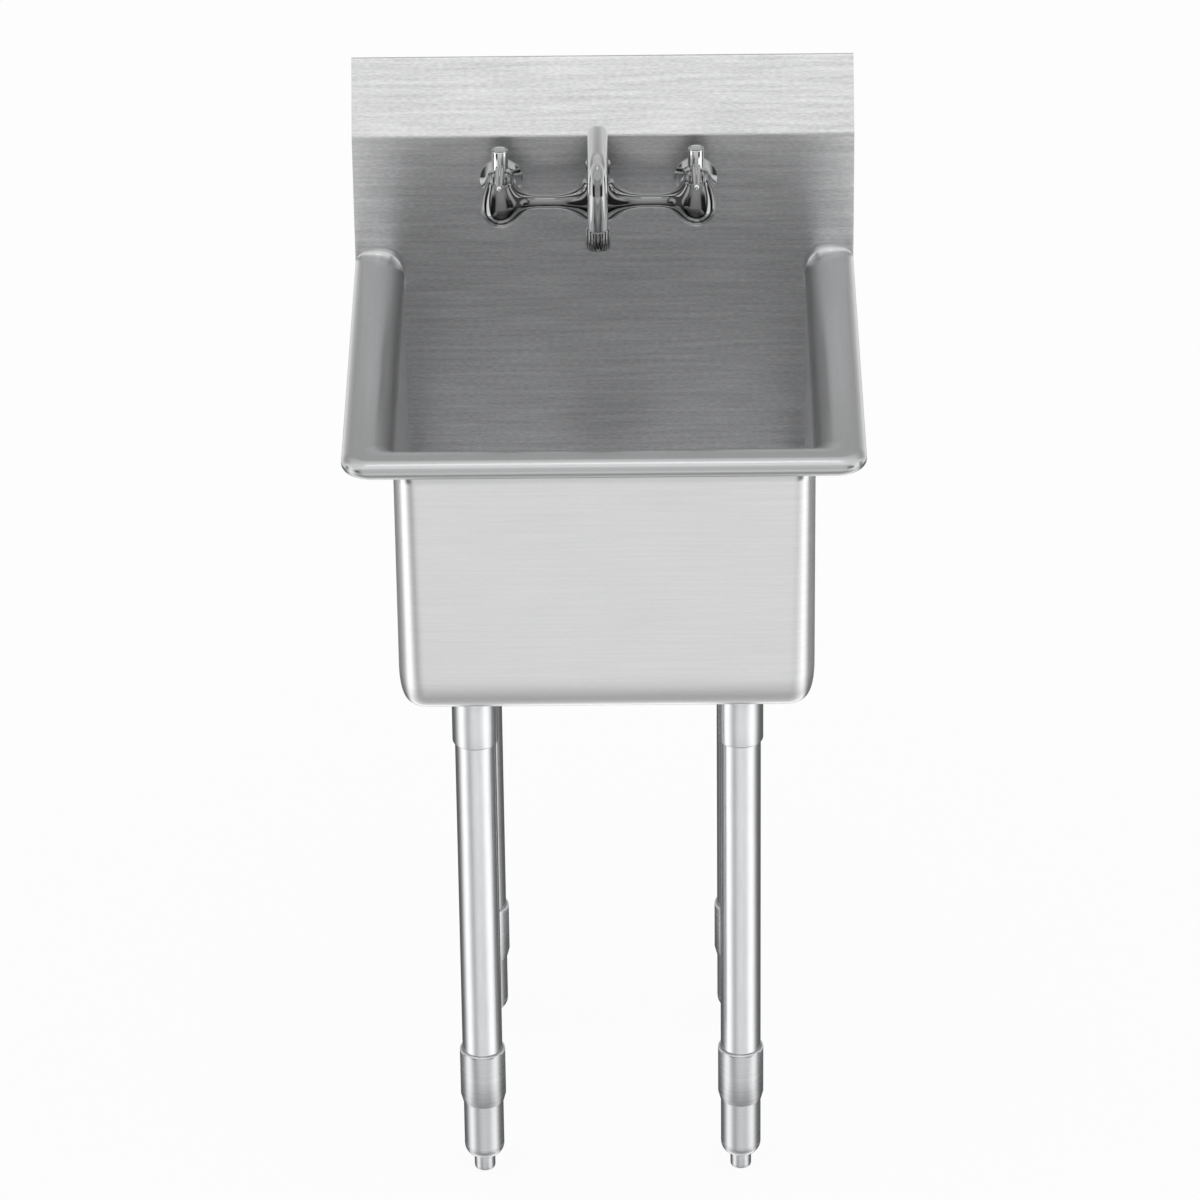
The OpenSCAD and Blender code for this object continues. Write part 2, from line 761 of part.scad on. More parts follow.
// Cast bridge: centre hub, bar and two housings, bored for the valves and the spout
module tap_body() color("gainsboro") {
  half = inlet_span / 2;
  flare_long = housing_r * flare_reach_share;
  hub_long = hub_r + hub_fillet_r;
  at_tap(0) translate([0, -bar_out, 0]) difference() {
    union() {
      for (x = [-1, 1]) {
        translate([x * half, 0, 0]) valve_housing();
        translate([x * half, 0, 0]) mirror([x > 0 ? 1 : 0, 0, 0])
          arm_blend(flare_long, flare_r, flare_cap, cheek_r, cheek_w);
        mirror([x > 0 ? 0 : 1, 0, 0])
          arm_blend(hub_long, hub_fillet_r, hub_top, cheek_r, hub_r);
      }
      translate([-half + flare_long, 0, 0]) rotate([0, 90, 0])
        cylinder(r = bar_r, h = 2 * (half - flare_long));
      translate([0, 0, -hub_low]) cylinder(r = hub_r, h = hub_low + hub_top);
    }
    translate([0, 0, spout_low - seat_gap - seal_t])
      cylinder(r = spout_r + spout_bore_gap, h = hub_top);
    for (x = [-1, 1]) translate([x * half, 0, 0]) {
      translate([0, 0, valve_bore_z]) cylinder(r = valve_bore_r, h = housing_top - valve_bore_z + cut);
      translate([0, 0, housing_top - valve_mouth_h])
        cylinder(r = valve_mouth_r, h = valve_mouth_h + cut);
    }
  }
}

// Spun cover disc on the backsplash
module wall_flange(x) color("gainsboro") {
  bore_r = shank_r + seat_gap;
  at_tap(x) rotate([90, 0, 0]) rotate_extrude()
    polygon([[bore_r, 0], [flange_od / 2, 0], [flange_od / 2, flange_edge_t],
      [union_flat_r, flange_t], [bore_r, flange_t]]);
}

// Hexagon nut that draws the body's tail pipe onto the shank
module union_nut(x) color("gainsboro") {
  low = flange_t + seat_gap;
  at_tap(x) rotate([90, 0, 0]) translate([0, 0, low]) difference() {
    hex_bar(union_flat_r, union_h);
    translate([0, 0, -cut]) cylinder(r = shank_r + union_bore_gap, h = union_h + 2 * cut);
  }
}

// Threaded shank through the backsplash; behind its locknut it keeps the full thread diameter
// that takes the supply hose
module inlet_shank(x) color("goldenrod") {
  free = shank_back - sheet_t - shank_washer_t - shank_nut_h - relief_w;
  at_tap(x) rotate([90, 0, 0]) translate([0, 0, -shank_back]) difference() {
    union() {
      cylinder(r = shank_r, h = free);
      cylinder(r = shank_r - relief_in, h = shank_back + shank_front);
    }
    translate([0, 0, -cut])
      cylinder(r = shank_r - shank_wall, h = shank_back + shank_front + 2 * cut);
  }
}

module shank_washers() color("black") {
  for (x = [-1, 1]) at_tap(x * inlet_span / 2) translate([0, sheet_t, 0]) rotate([-90, 0, 0])
    tube(shank_r + shank_washer_w, shank_r + seat_gap, shank_washer_t);
}

module shank_nuts() color("goldenrod") {
  for (x = [-1, 1]) at_tap(x * inlet_span / 2) translate([0, sheet_t + shank_washer_t, 0])
    rotate([-90, 0, 0]) difference() {
      hex_bar(shank_nut_flat_r, shank_nut_h);
      translate([0, 0, -cut]) cylinder(r = shank_r + seat_gap, h = shank_nut_h + 2 * cut);
    }
}

// Places its children on a valve axis
module at_valve(x) {
  at_tap(x) translate([0, -bar_out, 0]) children();
}

// Ceramic cartridge body with its water ports
module cartridge(x) color("ivory") {
  top = housing_top - valve_mouth_h;
  at_valve(x) translate([0, 0, valve_bore_z]) difference() {
    cylinder(r = valve_bore_r - seat_gap, h = top - valve_bore_z);
    translate([0, 0, stem_low - valve_bore_z])
      cylinder(r = stem_r + run_gap, h = top - stem_low + cut);
    translate([0, 0, -valve_bore_z]) rotate([0, 90, 0])
      cylinder(r = cartridge_port_r, h = 2 * valve_bore_r, center = true);
  }
}

// Turned bonnet screwed into the mouth of the housing
module bonnet(x) color("gainsboro") {
  skirt_low = housing_top - valve_mouth_h;
  at_valve(x) rotate_extrude() difference() {
    union() {
      translate([0, housing_top]) square([bonnet_r, bonnet_h - bonnet_cap_h]);
      translate([0, skirt_low]) square([valve_mouth_r - seat_gap, valve_mouth_h]);
      polygon([[0, housing_top + bonnet_h - bonnet_cap_h],
        [bonnet_r, housing_top + bonnet_h - bonnet_cap_h],
        [grip_r, housing_top + bonnet_h], [0, housing_top + bonnet_h]]);
    }
    translate([0, skirt_low - cut]) square([stem_r + run_gap, valve_mouth_h + bonnet_h + 2 * cut]);
    for (k = [1:bonnet_groove_count])
      translate([bonnet_r, housing_top + (bonnet_h - bonnet_cap_h) * k / (bonnet_groove_count + 1)])
        circle(bonnet_groove, $fn = 24);
  }
}

stem_top = grip_top - cap_recess - handle_screw_head_h - stem_land;

// Valve stem: it turns in the cartridge and carries the handle
module stem(x) color("goldenrod") {
  at_valve(x) difference() {
    translate([0, 0, stem_low + seat_gap]) cylinder(r = stem_r, h = stem_top - stem_low - seat_gap);
    translate([0, 0, stem_top - handle_screw_len])
      cylinder(r = handle_screw_r + run_gap, h = handle_screw_len + cut);
  }
}

// Round grip with a tapered pin lever that points to the front when the valve is shut
module handle(x) color("gainsboro") {
  bottom = housing_top + bonnet_h + seat_gap;
  neck_top = bottom + grip_neck_h;
  at_valve(x) difference() {
    union() {
      rotate_extrude() {
        translate([0, bottom]) square([grip_neck_r, grip_neck_h]);
        translate([0, neck_top]) square([grip_r, grip_top - grip_round_r - neck_top]);
        translate([0, grip_top - grip_round_r])
          square([grip_r - grip_round_r, grip_round_r]);
        translate([grip_r - grip_round_r, grip_top - grip_round_r]) intersection() {
          circle(grip_round_r);
          square([grip_round_r, grip_round_r]);
        }
      }
      translate([0, 0, lever_z]) rotate([90, 0, 0]) rotate_extrude() {
        polygon([[0, 0], [lever_root_r, 0], [lever_tip_r, lever_len - lever_tip_r],
          [0, lever_len - lever_tip_r]]);
        translate([0, lever_len - lever_tip_r]) intersection() {
          circle(lever_tip_r);
          square([lever_tip_r, lever_tip_r]);
        }
      }
    }
    translate([0, 0, bottom - cut]) cylinder(r = stem_r + run_gap, h = stem_top - bottom + cut);
    translate([0, 0, stem_top - cut])
      cylinder(r = handle_screw_r + run_gap, h = grip_top - stem_top);
    translate([0, 0, grip_top - cap_recess - handle_screw_head_h])
      cylinder(r = handle_screw_head_r + run_gap, h = handle_screw_head_h + cap_recess);
    translate([0, 0, grip_top - cap_recess]) cylinder(r = cap_r + run_gap, h = cap_recess + cut);
  }
}

module handle_screw(x) color("dimgray") {
  head_z = grip_top - cap_recess - handle_screw_head_h;
  at_valve(x) difference() {
    union() {
      translate([0, 0, head_z]) cylinder(r = handle_screw_head_r, h = handle_screw_head_h - seat_gap);
      translate([0, 0, stem_top - handle_screw_len + seat_gap])
        cylinder(r = handle_screw_r, h = head_z - stem_top + handle_screw_len);
    }
    translate([0, 0, head_z + handle_screw_head_h / 2])
      hex_bar(handle_screw_r, handle_screw_head_h);
  }
}

// Plain snap-in cap over the handle screw
module handle_cap(x) color("gainsboro") {
  at_valve(x) translate([0, 0, grip_top - cap_recess]) cylinder(r = cap_r, h = cap_t);
}

// One stretch of the spout tube along +Z
module spout_run(h) {
  tube(spout_r, spout_r - spout_wall, h);
}

// Quarter bend of the spout tube, from +Z at the origin towards -Y
module spout_bend() {
  translate([0, -spout_bend_r, 0]) rotate([0, -90, 0])
    rotate_extrude(angle = 90) translate([spout_bend_r, 0]) difference() {
      circle(spout_r);
      circle(spout_r - spout_wall);
    }
}

// Bent spout tube: up from the hub, forward and down to the aerator
module spout_tube() color("gainsboro") {
  rise = spout_up - spout_bend_r;
  at_valve(0) {
    translate([0, 0, spout_low]) spout_run(rise - spout_low);
    translate([0, 0, rise]) spout_bend();
    translate([0, -spout_bend_r, spout_up]) rotate([90, 0, 0])
      spout_run(spout_reach - 2 * spout_bend_r);
    translate([0, -spout_reach, rise]) mirror([0, 1, 0]) spout_bend();
    translate([0, -spout_reach, aerator_low + aerator_h])
      spout_run(rise - aerator_low - aerator_h);
  }
}

// Round nut that holds the spout down in the hub
module spout_nut() color("gainsboro") {
  bore_r = spout_r + spout_bore_gap;
  top = nut_low + nut_h;
  at_valve(0) rotate_extrude() difference() {
    union() {
      translate([0, nut_low]) square([nut_r, nut_h - nut_round_r]);
      translate([0, top - nut_round_r]) square([nut_r - nut_round_r, nut_round_r]);
      translate([nut_r - nut_round_r, top - nut_round_r]) intersection() {
        circle(nut_round_r);
        square([nut_round_r, nut_round_r]);
      }
    }
    translate([0, nut_low - cut]) square([bore_r, nut_h + 2 * cut]);
  }
}

// Flat seal under the spout's lower end
module spout_seal() color("black") {
  at_valve(0) translate([0, 0, spout_low - seat_gap - seal_t])
    tube(spout_r, spout_r - seal_w, seal_t);
}

// Fluted aerator housing on the end of the spout
module aerator_housing() color("gainsboro") {
  at_valve(0) translate([0, -spout_reach, aerator_low]) difference() {
    cylinder(r = aerator_r, h = aerator_h);
    translate([0, 0, -cut]) cylinder(r = aerator_r - aerator_wall, h = aerator_h - aerator_wall);
    translate([0, 0, aerator_h / 2]) cylinder(r = spout_r - spout_wall, h = aerator_h);
    for (k = [0:aerator_flutes - 1]) rotate([0, 0, 360 / aerator_flutes * k])
      translate([aerator_r + aerator_flute_out, 0, aerator_h / 4])
        cylinder(r = aerator_flute_r, h = aerator_h, $fn = 24);
  }
}

module aerator_screen() color("white") {
  screen_r = aerator_r - aerator_wall - seat_gap;
  at_valve(0) translate([0, -spout_reach, aerator_low + seat_gap]) difference() {
    cylinder(r = screen_r, h = screen_t);
    for (k = [0:screen_holes - 1]) rotate([0, 0, 360 / screen_holes * k])
      translate([screen_r * screen_ring_share, 0, -cut])
        cylinder(r = screen_hole_r, h = screen_t + 2 * cut, $fn = 24);
  }
}

leg_x = leg_span_x / 2;
leg_front_y = bowl_y - leg_span_y / 2;
leg_back_y = bowl_y + leg_span_y / 2;
inlet_x = inlet_span / 2;

bowl();
rolled_rim();
backsplash();
channel(-leg_x);  // channel_left
channel(leg_x);  // channel_right
leg_socket(-leg_x, leg_front_y);  // socket_front_left
leg_socket(leg_x, leg_front_y);  // socket_front_right
leg_socket(-leg_x, leg_back_y);  // socket_back_left
leg_socket(leg_x, leg_back_y);  // socket_back_right
socket_set_screws();
leg(-leg_x, leg_front_y);  // leg_front_left
leg(leg_x, leg_front_y);  // leg_front_right
leg(-leg_x, leg_back_y);  // leg_back_left
leg(leg_x, leg_back_y);  // leg_back_right
collar(-leg_x, leg_front_y);  // collar_front_left
collar(leg_x, leg_front_y);  // collar_front_right
collar(-leg_x, leg_back_y);  // collar_back_left
collar(leg_x, leg_back_y);  // collar_back_right
foot(-leg_x, leg_front_y);  // foot_front_left
foot(leg_x, leg_front_y);  // foot_front_right
foot(-leg_x, leg_back_y);  // foot_back_left
foot(leg_x, leg_back_y);  // foot_back_right
strainer_body();
drain_gasket();
friction_ring();
drain_locknut();
tailpiece();
tail_washer();
coupling_nut();
strainer_basket();
basket_stopper();
basket_knob();
tap_body();
wall_flange(-inlet_x);  // wall_flange_left
wall_flange(inlet_x);  // wall_flange_right
union_nut(-inlet_x);  // union_nut_left
union_nut(inlet_x);  // union_nut_right
inlet_shank(-inlet_x);  // inlet_shank_left
inlet_shank(inlet_x);  // inlet_shank_right
shank_washers();
shank_nuts();
cartridge(-inlet_x);  // hot_cartridge
cartridge(inlet_x);  // cold_cartridge
bonnet(-inlet_x);  // hot_bonnet
bonnet(inlet_x);  // cold_bonnet
stem(-inlet_x);  // hot_stem
stem(inlet_x);  // cold_stem
handle(-inlet_x);  // hot_handle
handle(inlet_x);  // cold_handle
handle_screw(-inlet_x);  // hot_handle_screw
handle_screw(inlet_x);  // cold_handle_screw
handle_cap(-inlet_x);  // hot_cap
handle_cap(inlet_x);  // cold_cap
spout_tube();
spout_nut();
spout_seal();
aerator_housing();
aerator_screen();
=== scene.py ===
import bmesh
import bpy
import numpy as np
from mathutils import Matrix, Vector


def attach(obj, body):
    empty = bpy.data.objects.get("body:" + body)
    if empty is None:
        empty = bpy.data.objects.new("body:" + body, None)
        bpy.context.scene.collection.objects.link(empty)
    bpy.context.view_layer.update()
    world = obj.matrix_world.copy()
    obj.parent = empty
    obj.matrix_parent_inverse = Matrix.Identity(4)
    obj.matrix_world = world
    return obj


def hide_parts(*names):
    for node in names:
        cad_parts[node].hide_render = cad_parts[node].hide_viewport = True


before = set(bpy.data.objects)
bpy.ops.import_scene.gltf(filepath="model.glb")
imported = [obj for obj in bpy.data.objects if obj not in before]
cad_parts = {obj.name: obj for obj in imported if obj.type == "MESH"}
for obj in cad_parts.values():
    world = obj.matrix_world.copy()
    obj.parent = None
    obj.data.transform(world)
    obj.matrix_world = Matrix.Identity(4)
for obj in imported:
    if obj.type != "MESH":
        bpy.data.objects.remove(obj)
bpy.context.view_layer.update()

# Camera.
# A long lens from the front, a little right of the middle and looking down about 29 degrees.
# Its place was worked out from the backsplash, rim, sockets and feet in the photograph.
camera_place = (0.04015, -6.05087, 4.01639)
camera_ahead = (-0.006827, 0.870766, -0.491650)
camera_up = (0.008679, 0.491694, 0.870725)
focal_px = 6807.55
picture_px = 1200
sensor_mm = 36
forward = Vector(camera_ahead).normalized()
right = forward.cross(Vector(camera_up)).normalized()
up = right.cross(forward)
camera = bpy.data.objects.new("camera", bpy.data.cameras.new("camera"))
bpy.context.scene.collection.objects.link(camera)
aimed = Matrix((right, up, -forward)).transposed().to_4x4()
camera.matrix_world = Matrix.Translation(camera_place) @ aimed
camera.data.sensor_width = sensor_mm
camera.data.lens = focal_px * sensor_mm / picture_px
camera.data.clip_end = 50
bpy.context.scene.camera = camera
bpy.context.scene.view_settings.view_transform = "Standard"

# Studio.
# All the light comes from the world: a pale room, brightest beside the sink, with a small lamp
# overhead and dark gaps that draw the dark lines on round steel and chrome. The camera itself
# sees plain white, and the pale floor glows for it alone.
brightness = 1.5
gap_tone = 0.03
lamp_way = (0, -0.242, 0.970)
floor_half = 4
floor_glow = 0.93
world = bpy.data.worlds.new("studio")
bpy.context.scene.world = world
world.use_nodes = True
tree = world.node_tree
tree.nodes.clear()


def wire(tree, kind, **values):
    """Adds a node; values are its settings, or its inputs by name as numbers or sockets."""
    made = tree.nodes.new(kind)
    for key, value in values.items():
        if hasattr(made, key) and key not in ("inputs", "outputs"):
            setattr(made, key, value)
            continue
        number = key[1:] if key.startswith("_") and key[1:].isdigit() else None
        socket = made.inputs[int(number)] if number else made.inputs[key.replace("_", " ")]
        if isinstance(value, bpy.types.NodeSocket):
            tree.links.new(value, socket)
        else:
            socket.default_value = value
    return made


def calc(tree, operation, a, b=0.0, c=0.0):
    """One step of arithmetic on numbers or sockets."""
    return wire(tree, "ShaderNodeMath", operation=operation, _0=a, _1=b, _2=c).outputs[0]


def ramp(tree, value, stops):
    """A grey ramp: stops are (place, value) from 0 to 1."""
    made = wire(tree, "ShaderNodeValToRGB", Fac=value)
    points = made.color_ramp.elements
    while len(points) < len(stops):
        points.new(0.5)
    for point, (place, tone) in zip(points, stops):
        point.position = place
        point.color = (tone, tone, tone, 1)
    return made.outputs[0]


def ease(tree, value, low, high):
    """Runs smoothly from 0 to 1 while the value runs from low to high."""
    return wire(tree, "ShaderNodeMapRange", interpolation_type="SMOOTHSTEP", Value=value,
                From_Min=low, From_Max=high).outputs[0]


def mingle(tree, share, a, b, blend_type="MIX"):
    """Colour a, with that share of colour b mixed in, or added or multiplied."""
    return wire(tree, "ShaderNodeMix", data_type="RGBA", blend_type=blend_type, _0=share, _6=a,
                _7=b).outputs[2]


# Each direction in the room: around is 0 behind the sink and 1 in front of it, and rise is 0
# straight down and 1 straight up
way = wire(tree, "ShaderNodeTexCoord").outputs["Generated"]
to_right, to_back, to_top = wire(tree, "ShaderNodeSeparateXYZ", Vector=way).outputs
level = calc(tree, "SQRT", calc(tree, "ADD", calc(tree, "MULTIPLY", to_right, to_right),
                                calc(tree, "MULTIPLY", to_back, to_back)))
facing = calc(tree, "DIVIDE", to_back, calc(tree, "MAXIMUM", level, 0.001))
around = calc(tree, "MULTIPLY_ADD", facing, -0.5, 0.5)
rise = calc(tree, "MULTIPLY_ADD", to_top, 0.5, 0.5)

# Below the horizon: dark behind the sink, white beside it and greyer in front, and steeply
# down a floor that is white at the back and dark in front of the sink
left_low = ramp(tree, around, [
    (0.0, 0.08), (0.20, 0.10), (0.32, 0.22), (0.396, 0.42), (0.474, 0.66), (0.544, 0.86),
    (0.61, 0.98), (0.67, 1.0), (0.727, 0.95), (0.772, 0.84), (0.82, 0.68), (0.86, 0.54),
    (0.924, 0.43), (0.97, 0.58), (1.0, 0.69)])
right_low = ramp(tree, around, [
    (0.0, 0.08), (0.26, 0.10), (0.396, 0.22), (0.474, 0.38), (0.544, 0.58), (0.61, 0.80),
    (0.67, 0.95), (0.727, 1.0), (0.80, 1.0), (0.86, 0.92), (0.924, 0.74), (0.97, 0.67),
    (1.0, 0.69)])
underfoot = ramp(tree, calc(tree, "MULTIPLY_ADD", to_back, 0.5, 0.5), [
    (0.06, 0.60), (0.095, 0.48), (0.134, 0.36), (0.153, 0.28), (0.19, 0.22), (0.26, 0.23),
    (0.40, 0.40), (0.50, 0.55), (0.63, 0.90), (0.75, 1.0)])
below = mingle(tree, ease(tree, to_right, -0.08, 0.08), left_low, right_low)
steepness = calc(tree, "MULTIPLY_ADD", to_back, 0.15, to_top)
below = mingle(tree, ease(tree, steepness, -0.62, -0.80), below, underfoot)

# Above it: a wall on each side, in front and behind, with the dark gaps between them low down
ahead = ramp(tree, rise, [(0.29, 0.47), (0.50, 0.45), (0.67, 0.48), (0.745, 0.42), (0.80, 0.74),
                          (0.88, 0.74), (0.96, 0.66)])
beside = ramp(tree, rise, [(0.30, 0.85), (0.64, 0.85), (0.75, 0.60), (1.0, 0.65)])
behind = ramp(tree, rise, [(0.30, 0.66), (0.45, 0.66), (0.50, 0.53), (0.62, 0.40), (0.745, 0.25),
                           (0.82, 0.33), (0.88, 0.48), (0.95, 0.53), (1.0, 0.60)])
gaps = ramp(tree, around, [(0.38, 0.0), (0.42, 1.0), (0.52, 1.0), (0.56, 0.0), (0.76, 0.0),
                           (0.80, 1.0), (0.92, 1.0), (0.96, 0.0)])
above = mingle(tree, ease(tree, around, 0.80, 0.91), beside, ahead)
above = mingle(tree, ease(tree, around, 0.40, 0.30), above, behind)
low_down = calc(tree, "MULTIPLY", gaps, ease(tree, to_top, 0.35, 0.10))
above = mingle(tree, low_down, above, (gap_tone, gap_tone, gap_tone, 1))

room = mingle(tree, ease(tree, to_top, -0.42, -0.36), below, above)
aim = wire(tree, "ShaderNodeVectorMath", operation="DOT_PRODUCT", _0=way, _1=lamp_way)
room = mingle(tree, 1.0, room, ease(tree, aim.outputs[1], 0.992, 0.997), "ADD")
room = mingle(tree, 1.0, room, (brightness, brightness, brightness, 1), "MULTIPLY")
seen = wire(tree, "ShaderNodeLightPath").outputs["Is Camera Ray"]
sky = wire(tree, "ShaderNodeBackground", Color=mingle(tree, seen, room, (1, 1, 1, 1)),
           Strength=1.0)
wire(tree, "ShaderNodeOutputWorld", Surface=sky.outputs[0])

floor_mesh = bpy.data.meshes.new("floor")
floor_mesh.from_pydata([(-floor_half, -floor_half, 0), (floor_half, -floor_half, 0),
                        (floor_half, floor_half, 0), (-floor_half, floor_half, 0)],
                       [], [(0, 1, 2, 3)])
floor = bpy.data.objects.new("floor", floor_mesh)
bpy.context.scene.collection.objects.link(floor)
floor.visible_glossy = False
paint = bpy.data.materials.new("floor_paint")
paint.use_nodes = True
tree = paint.node_tree
tree.nodes.clear()
seen = wire(tree, "ShaderNodeLightPath").outputs["Is Camera Ray"]
lit = wire(tree, "ShaderNodeBsdfDiffuse", Color=(0.9, 0.9, 0.9, 1))
glow = wire(tree, "ShaderNodeEmission", Color=(1, 1, 1, 1), Strength=1.0)
both = wire(tree, "ShaderNodeMixShader", _0=calc(tree, "MULTIPLY", seen, floor_glow),
            _1=lit.outputs[0], _2=glow.outputs[0])
wire(tree, "ShaderNodeOutputMaterial", Surface=both.outputs[0])
floor_mesh.materials.append(paint)

# Bowl.
# One deep bowl pressed from stainless sheet, polished with a belt along its walls: round
# upright corners, a cove round the floor and a recess for the drain. It is welded to the rim
# along the seam under the bend and to the backsplash sheet, which is its back wall.

# Sizes from here on are in millimetres; piece() turns them into metres
sheet_t = 1.2
rim_z = 895.0
bowl_half = 207.0
bowl_front = -205.472
splash_y = 202.528
floor_z = 584.5
seam_z = 863.0
cove_r = 26.0
cove_start = 20.0
upright_z = [600.0, seam_z]
upright_r = [28.0, 24.0]
least_corner_r = 3.0
drain_y = -0.872
recess_r = 59.0
recess_depth = 3.0
ledge_r = 52.0
drain_hole_r = 45.0


def skin(points, away):
    """A grid of points as a strip of quads, wound so that its faces look away from the point
    `away` on average. Its two map coordinates are the lengths, in metres, along the first and
    the second direction of the grid."""
    points = np.asarray(points, float)
    n, m = points.shape[:2]
    index = np.arange(n * m).reshape(n, m)
    quads = np.stack([index[:-1, :-1], index[1:, :-1], index[1:, 1:], index[:-1, 1:]], -1)
    a = points[1:, 1:] - points[:-1, :-1]
    b = points[:-1, 1:] - points[1:, :-1]
    middle = (points[1:, 1:] + points[:-1, :-1]) / 2 - np.asarray(away, float)
    if (np.cross(a, b) * middle).sum() < 0:
        quads = quads[..., ::-1]
    along = np.zeros((n, m))
    across = np.zeros((n, m))
    along[:, 1:] = np.cumsum(np.linalg.norm(np.diff(points, axis=1), axis=2).mean(0))[None, :]
    across[1:, :] = np.cumsum(np.linalg.norm(np.diff(points, axis=0), axis=2).mean(1))[:, None]
    chart = np.stack([across, along], -1) / 1000
    return points.reshape(-1, 3), quads.reshape(-1, 4), chart.reshape(-1, 2)


def piece(name, skins, material, body, nodes, crease=35, cap=False, thick=0):
    """Joins skins into one mesh, closes its seams and poles, and hangs it on its body."""
    points = np.concatenate([s[0] for s in skins]) / 1000
    chart = np.concatenate([s[2] for s in skins])
    start = np.cumsum([0] + [len(s[0]) for s in skins[:-1]])
    quads = np.concatenate([s[1] + k for s, k in zip(skins, start)])
    mesh = bpy.data.meshes.new(name)
    mesh.from_pydata(points, [], quads.tolist())
    mesh.uv_layers.new(name="grain").data.foreach_set("uv", chart[quads.ravel()].ravel())
    work = bmesh.new()
    work.from_mesh(mesh)
    bmesh.ops.remove_doubles(work, verts=work.verts, dist=2e-6)
    if cap:
        edges = [e for e in work.edges if e.is_boundary]
        bmesh.ops.holes_fill(work, edges=edges, sides=0)
        bmesh.ops.recalc_face_normals(work, faces=work.faces)
    work.to_mesh(mesh)
    work.free()
    mesh.shade_smooth()
    mesh.set_sharp_from_angle(angle=np.radians(crease))
    mesh.materials.append(material)
    made = bpy.data.objects.new(name, mesh)
    bpy.context.scene.collection.objects.link(made)
    if thick:
        wall = made.modifiers.new("wall", "SOLIDIFY")
        wall.thickness = thick / 1000
        wall.offset = -1
        wall.use_even_offset = True
    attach(made, body)
    if nodes:
        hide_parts(*nodes)


def u_path(half, front, back, radius, bend=20):
    """Rows of an open U seen from above: down the left side, round the front left corner with
    the row's own radius, along the front, and the mirror image of that. half, front and
    radius are arrays with one value for each row, and bend is the points in a corner."""
    half, front, radius = (np.asarray(v, float)[:, None] for v in (half, front, radius))
    share = np.linspace(0, 1, 14)[None, :]
    turn = np.linspace(np.pi, 1.5 * np.pi, bend)[None, :]
    s = share[:, :-1]
    side = np.stack([-half + 0 * s, back + (front + radius - back) * s], -1)
    corner = np.stack([-half + radius + radius * np.cos(turn),
                       front + radius + radius * np.sin(turn)], -1)
    s = share[:, 1:]
    ahead = np.stack([(-half + radius) * (1 - s), front + 0 * s], -1)
    left = np.concatenate([side, corner, ahead], 1)
    return np.concatenate([left, left[:, -2::-1] * [-1, 1]], 1)


def raised(plan, height):
    """Rows of points seen from above, each row set at its own height."""
    return np.concatenate([plan, np.broadcast_to(height[:, None, None], (*plan.shape[:2], 1))], 2)


def node_group(name, given, made):
    """An empty shader group with its sockets, its input node and its output node."""
    tree = bpy.data.node_groups.new(name, "ShaderNodeTree")
    for label, value in given:
        kind = "NodeSocketVector" if value is None else "NodeSocketFloat"
        socket = tree.interface.new_socket(label, in_out="INPUT", socket_type=kind)
        if value is not None:
            socket.default_value = value
    for label in made:
        tree.interface.new_socket(label, in_out="OUTPUT", socket_type="NodeSocketFloat")
    return tree, tree.nodes.new("NodeGroupInput").outputs, tree.nodes.new("NodeGroupOutput").inputs


def stretch(tree, noise):
    """The middle of a noise's range, spread over 0 to 1."""
    return wire(tree, "ShaderNodeMapRange", Value=noise.outputs[0], From_Min=0.3,
                From_Max=0.7).outputs[0]


# Belt grain: short fine scratches along one direction over longer, softer streaks
grain, given, result = node_group("belt_grain", [
    ("Place", None), ("Across", 900.0), ("Along", 28.0)], ["Scratch", "Streak"])
size = wire(grain, "ShaderNodeCombineXYZ", X=given[1], Y=given[2], Z=1.0).outputs[0]
spot = wire(grain, "ShaderNodeVectorMath", operation="MULTIPLY", _0=given[0], _1=size).outputs[0]
longer = wire(grain, "ShaderNodeVectorMath", operation="MULTIPLY", _0=spot,
              _1=(0.35, 0.07, 1.0)).outputs[0]
for socket, place in zip(result, (spot, longer)):
    lines = wire(grain, "ShaderNodeTexNoise", Vector=place, Scale=1.0, Detail=2.0, Roughness=0.5)
    grain.links.new(stretch(grain, lines), socket)

# Handling: soft clouds where a polished face has been wiped or touched
cloud, given, result = node_group("wiped_clouds", [("Place", None), ("Scale", 14.0)], ["Cloud"])
haze = wire(cloud, "ShaderNodeTexNoise", Vector=given[0], Scale=given[1], Detail=4.0,
            Roughness=0.6)
cloud.links.new(stretch(cloud, haze), result[0])


def share_out(tree, a, b, share):
    """Mask a with that share and mask b with the rest."""
    return calc(tree, "ADD", calc(tree, "MULTIPLY", a, share),
                calc(tree, "MULTIPLY", b, 1 - share))


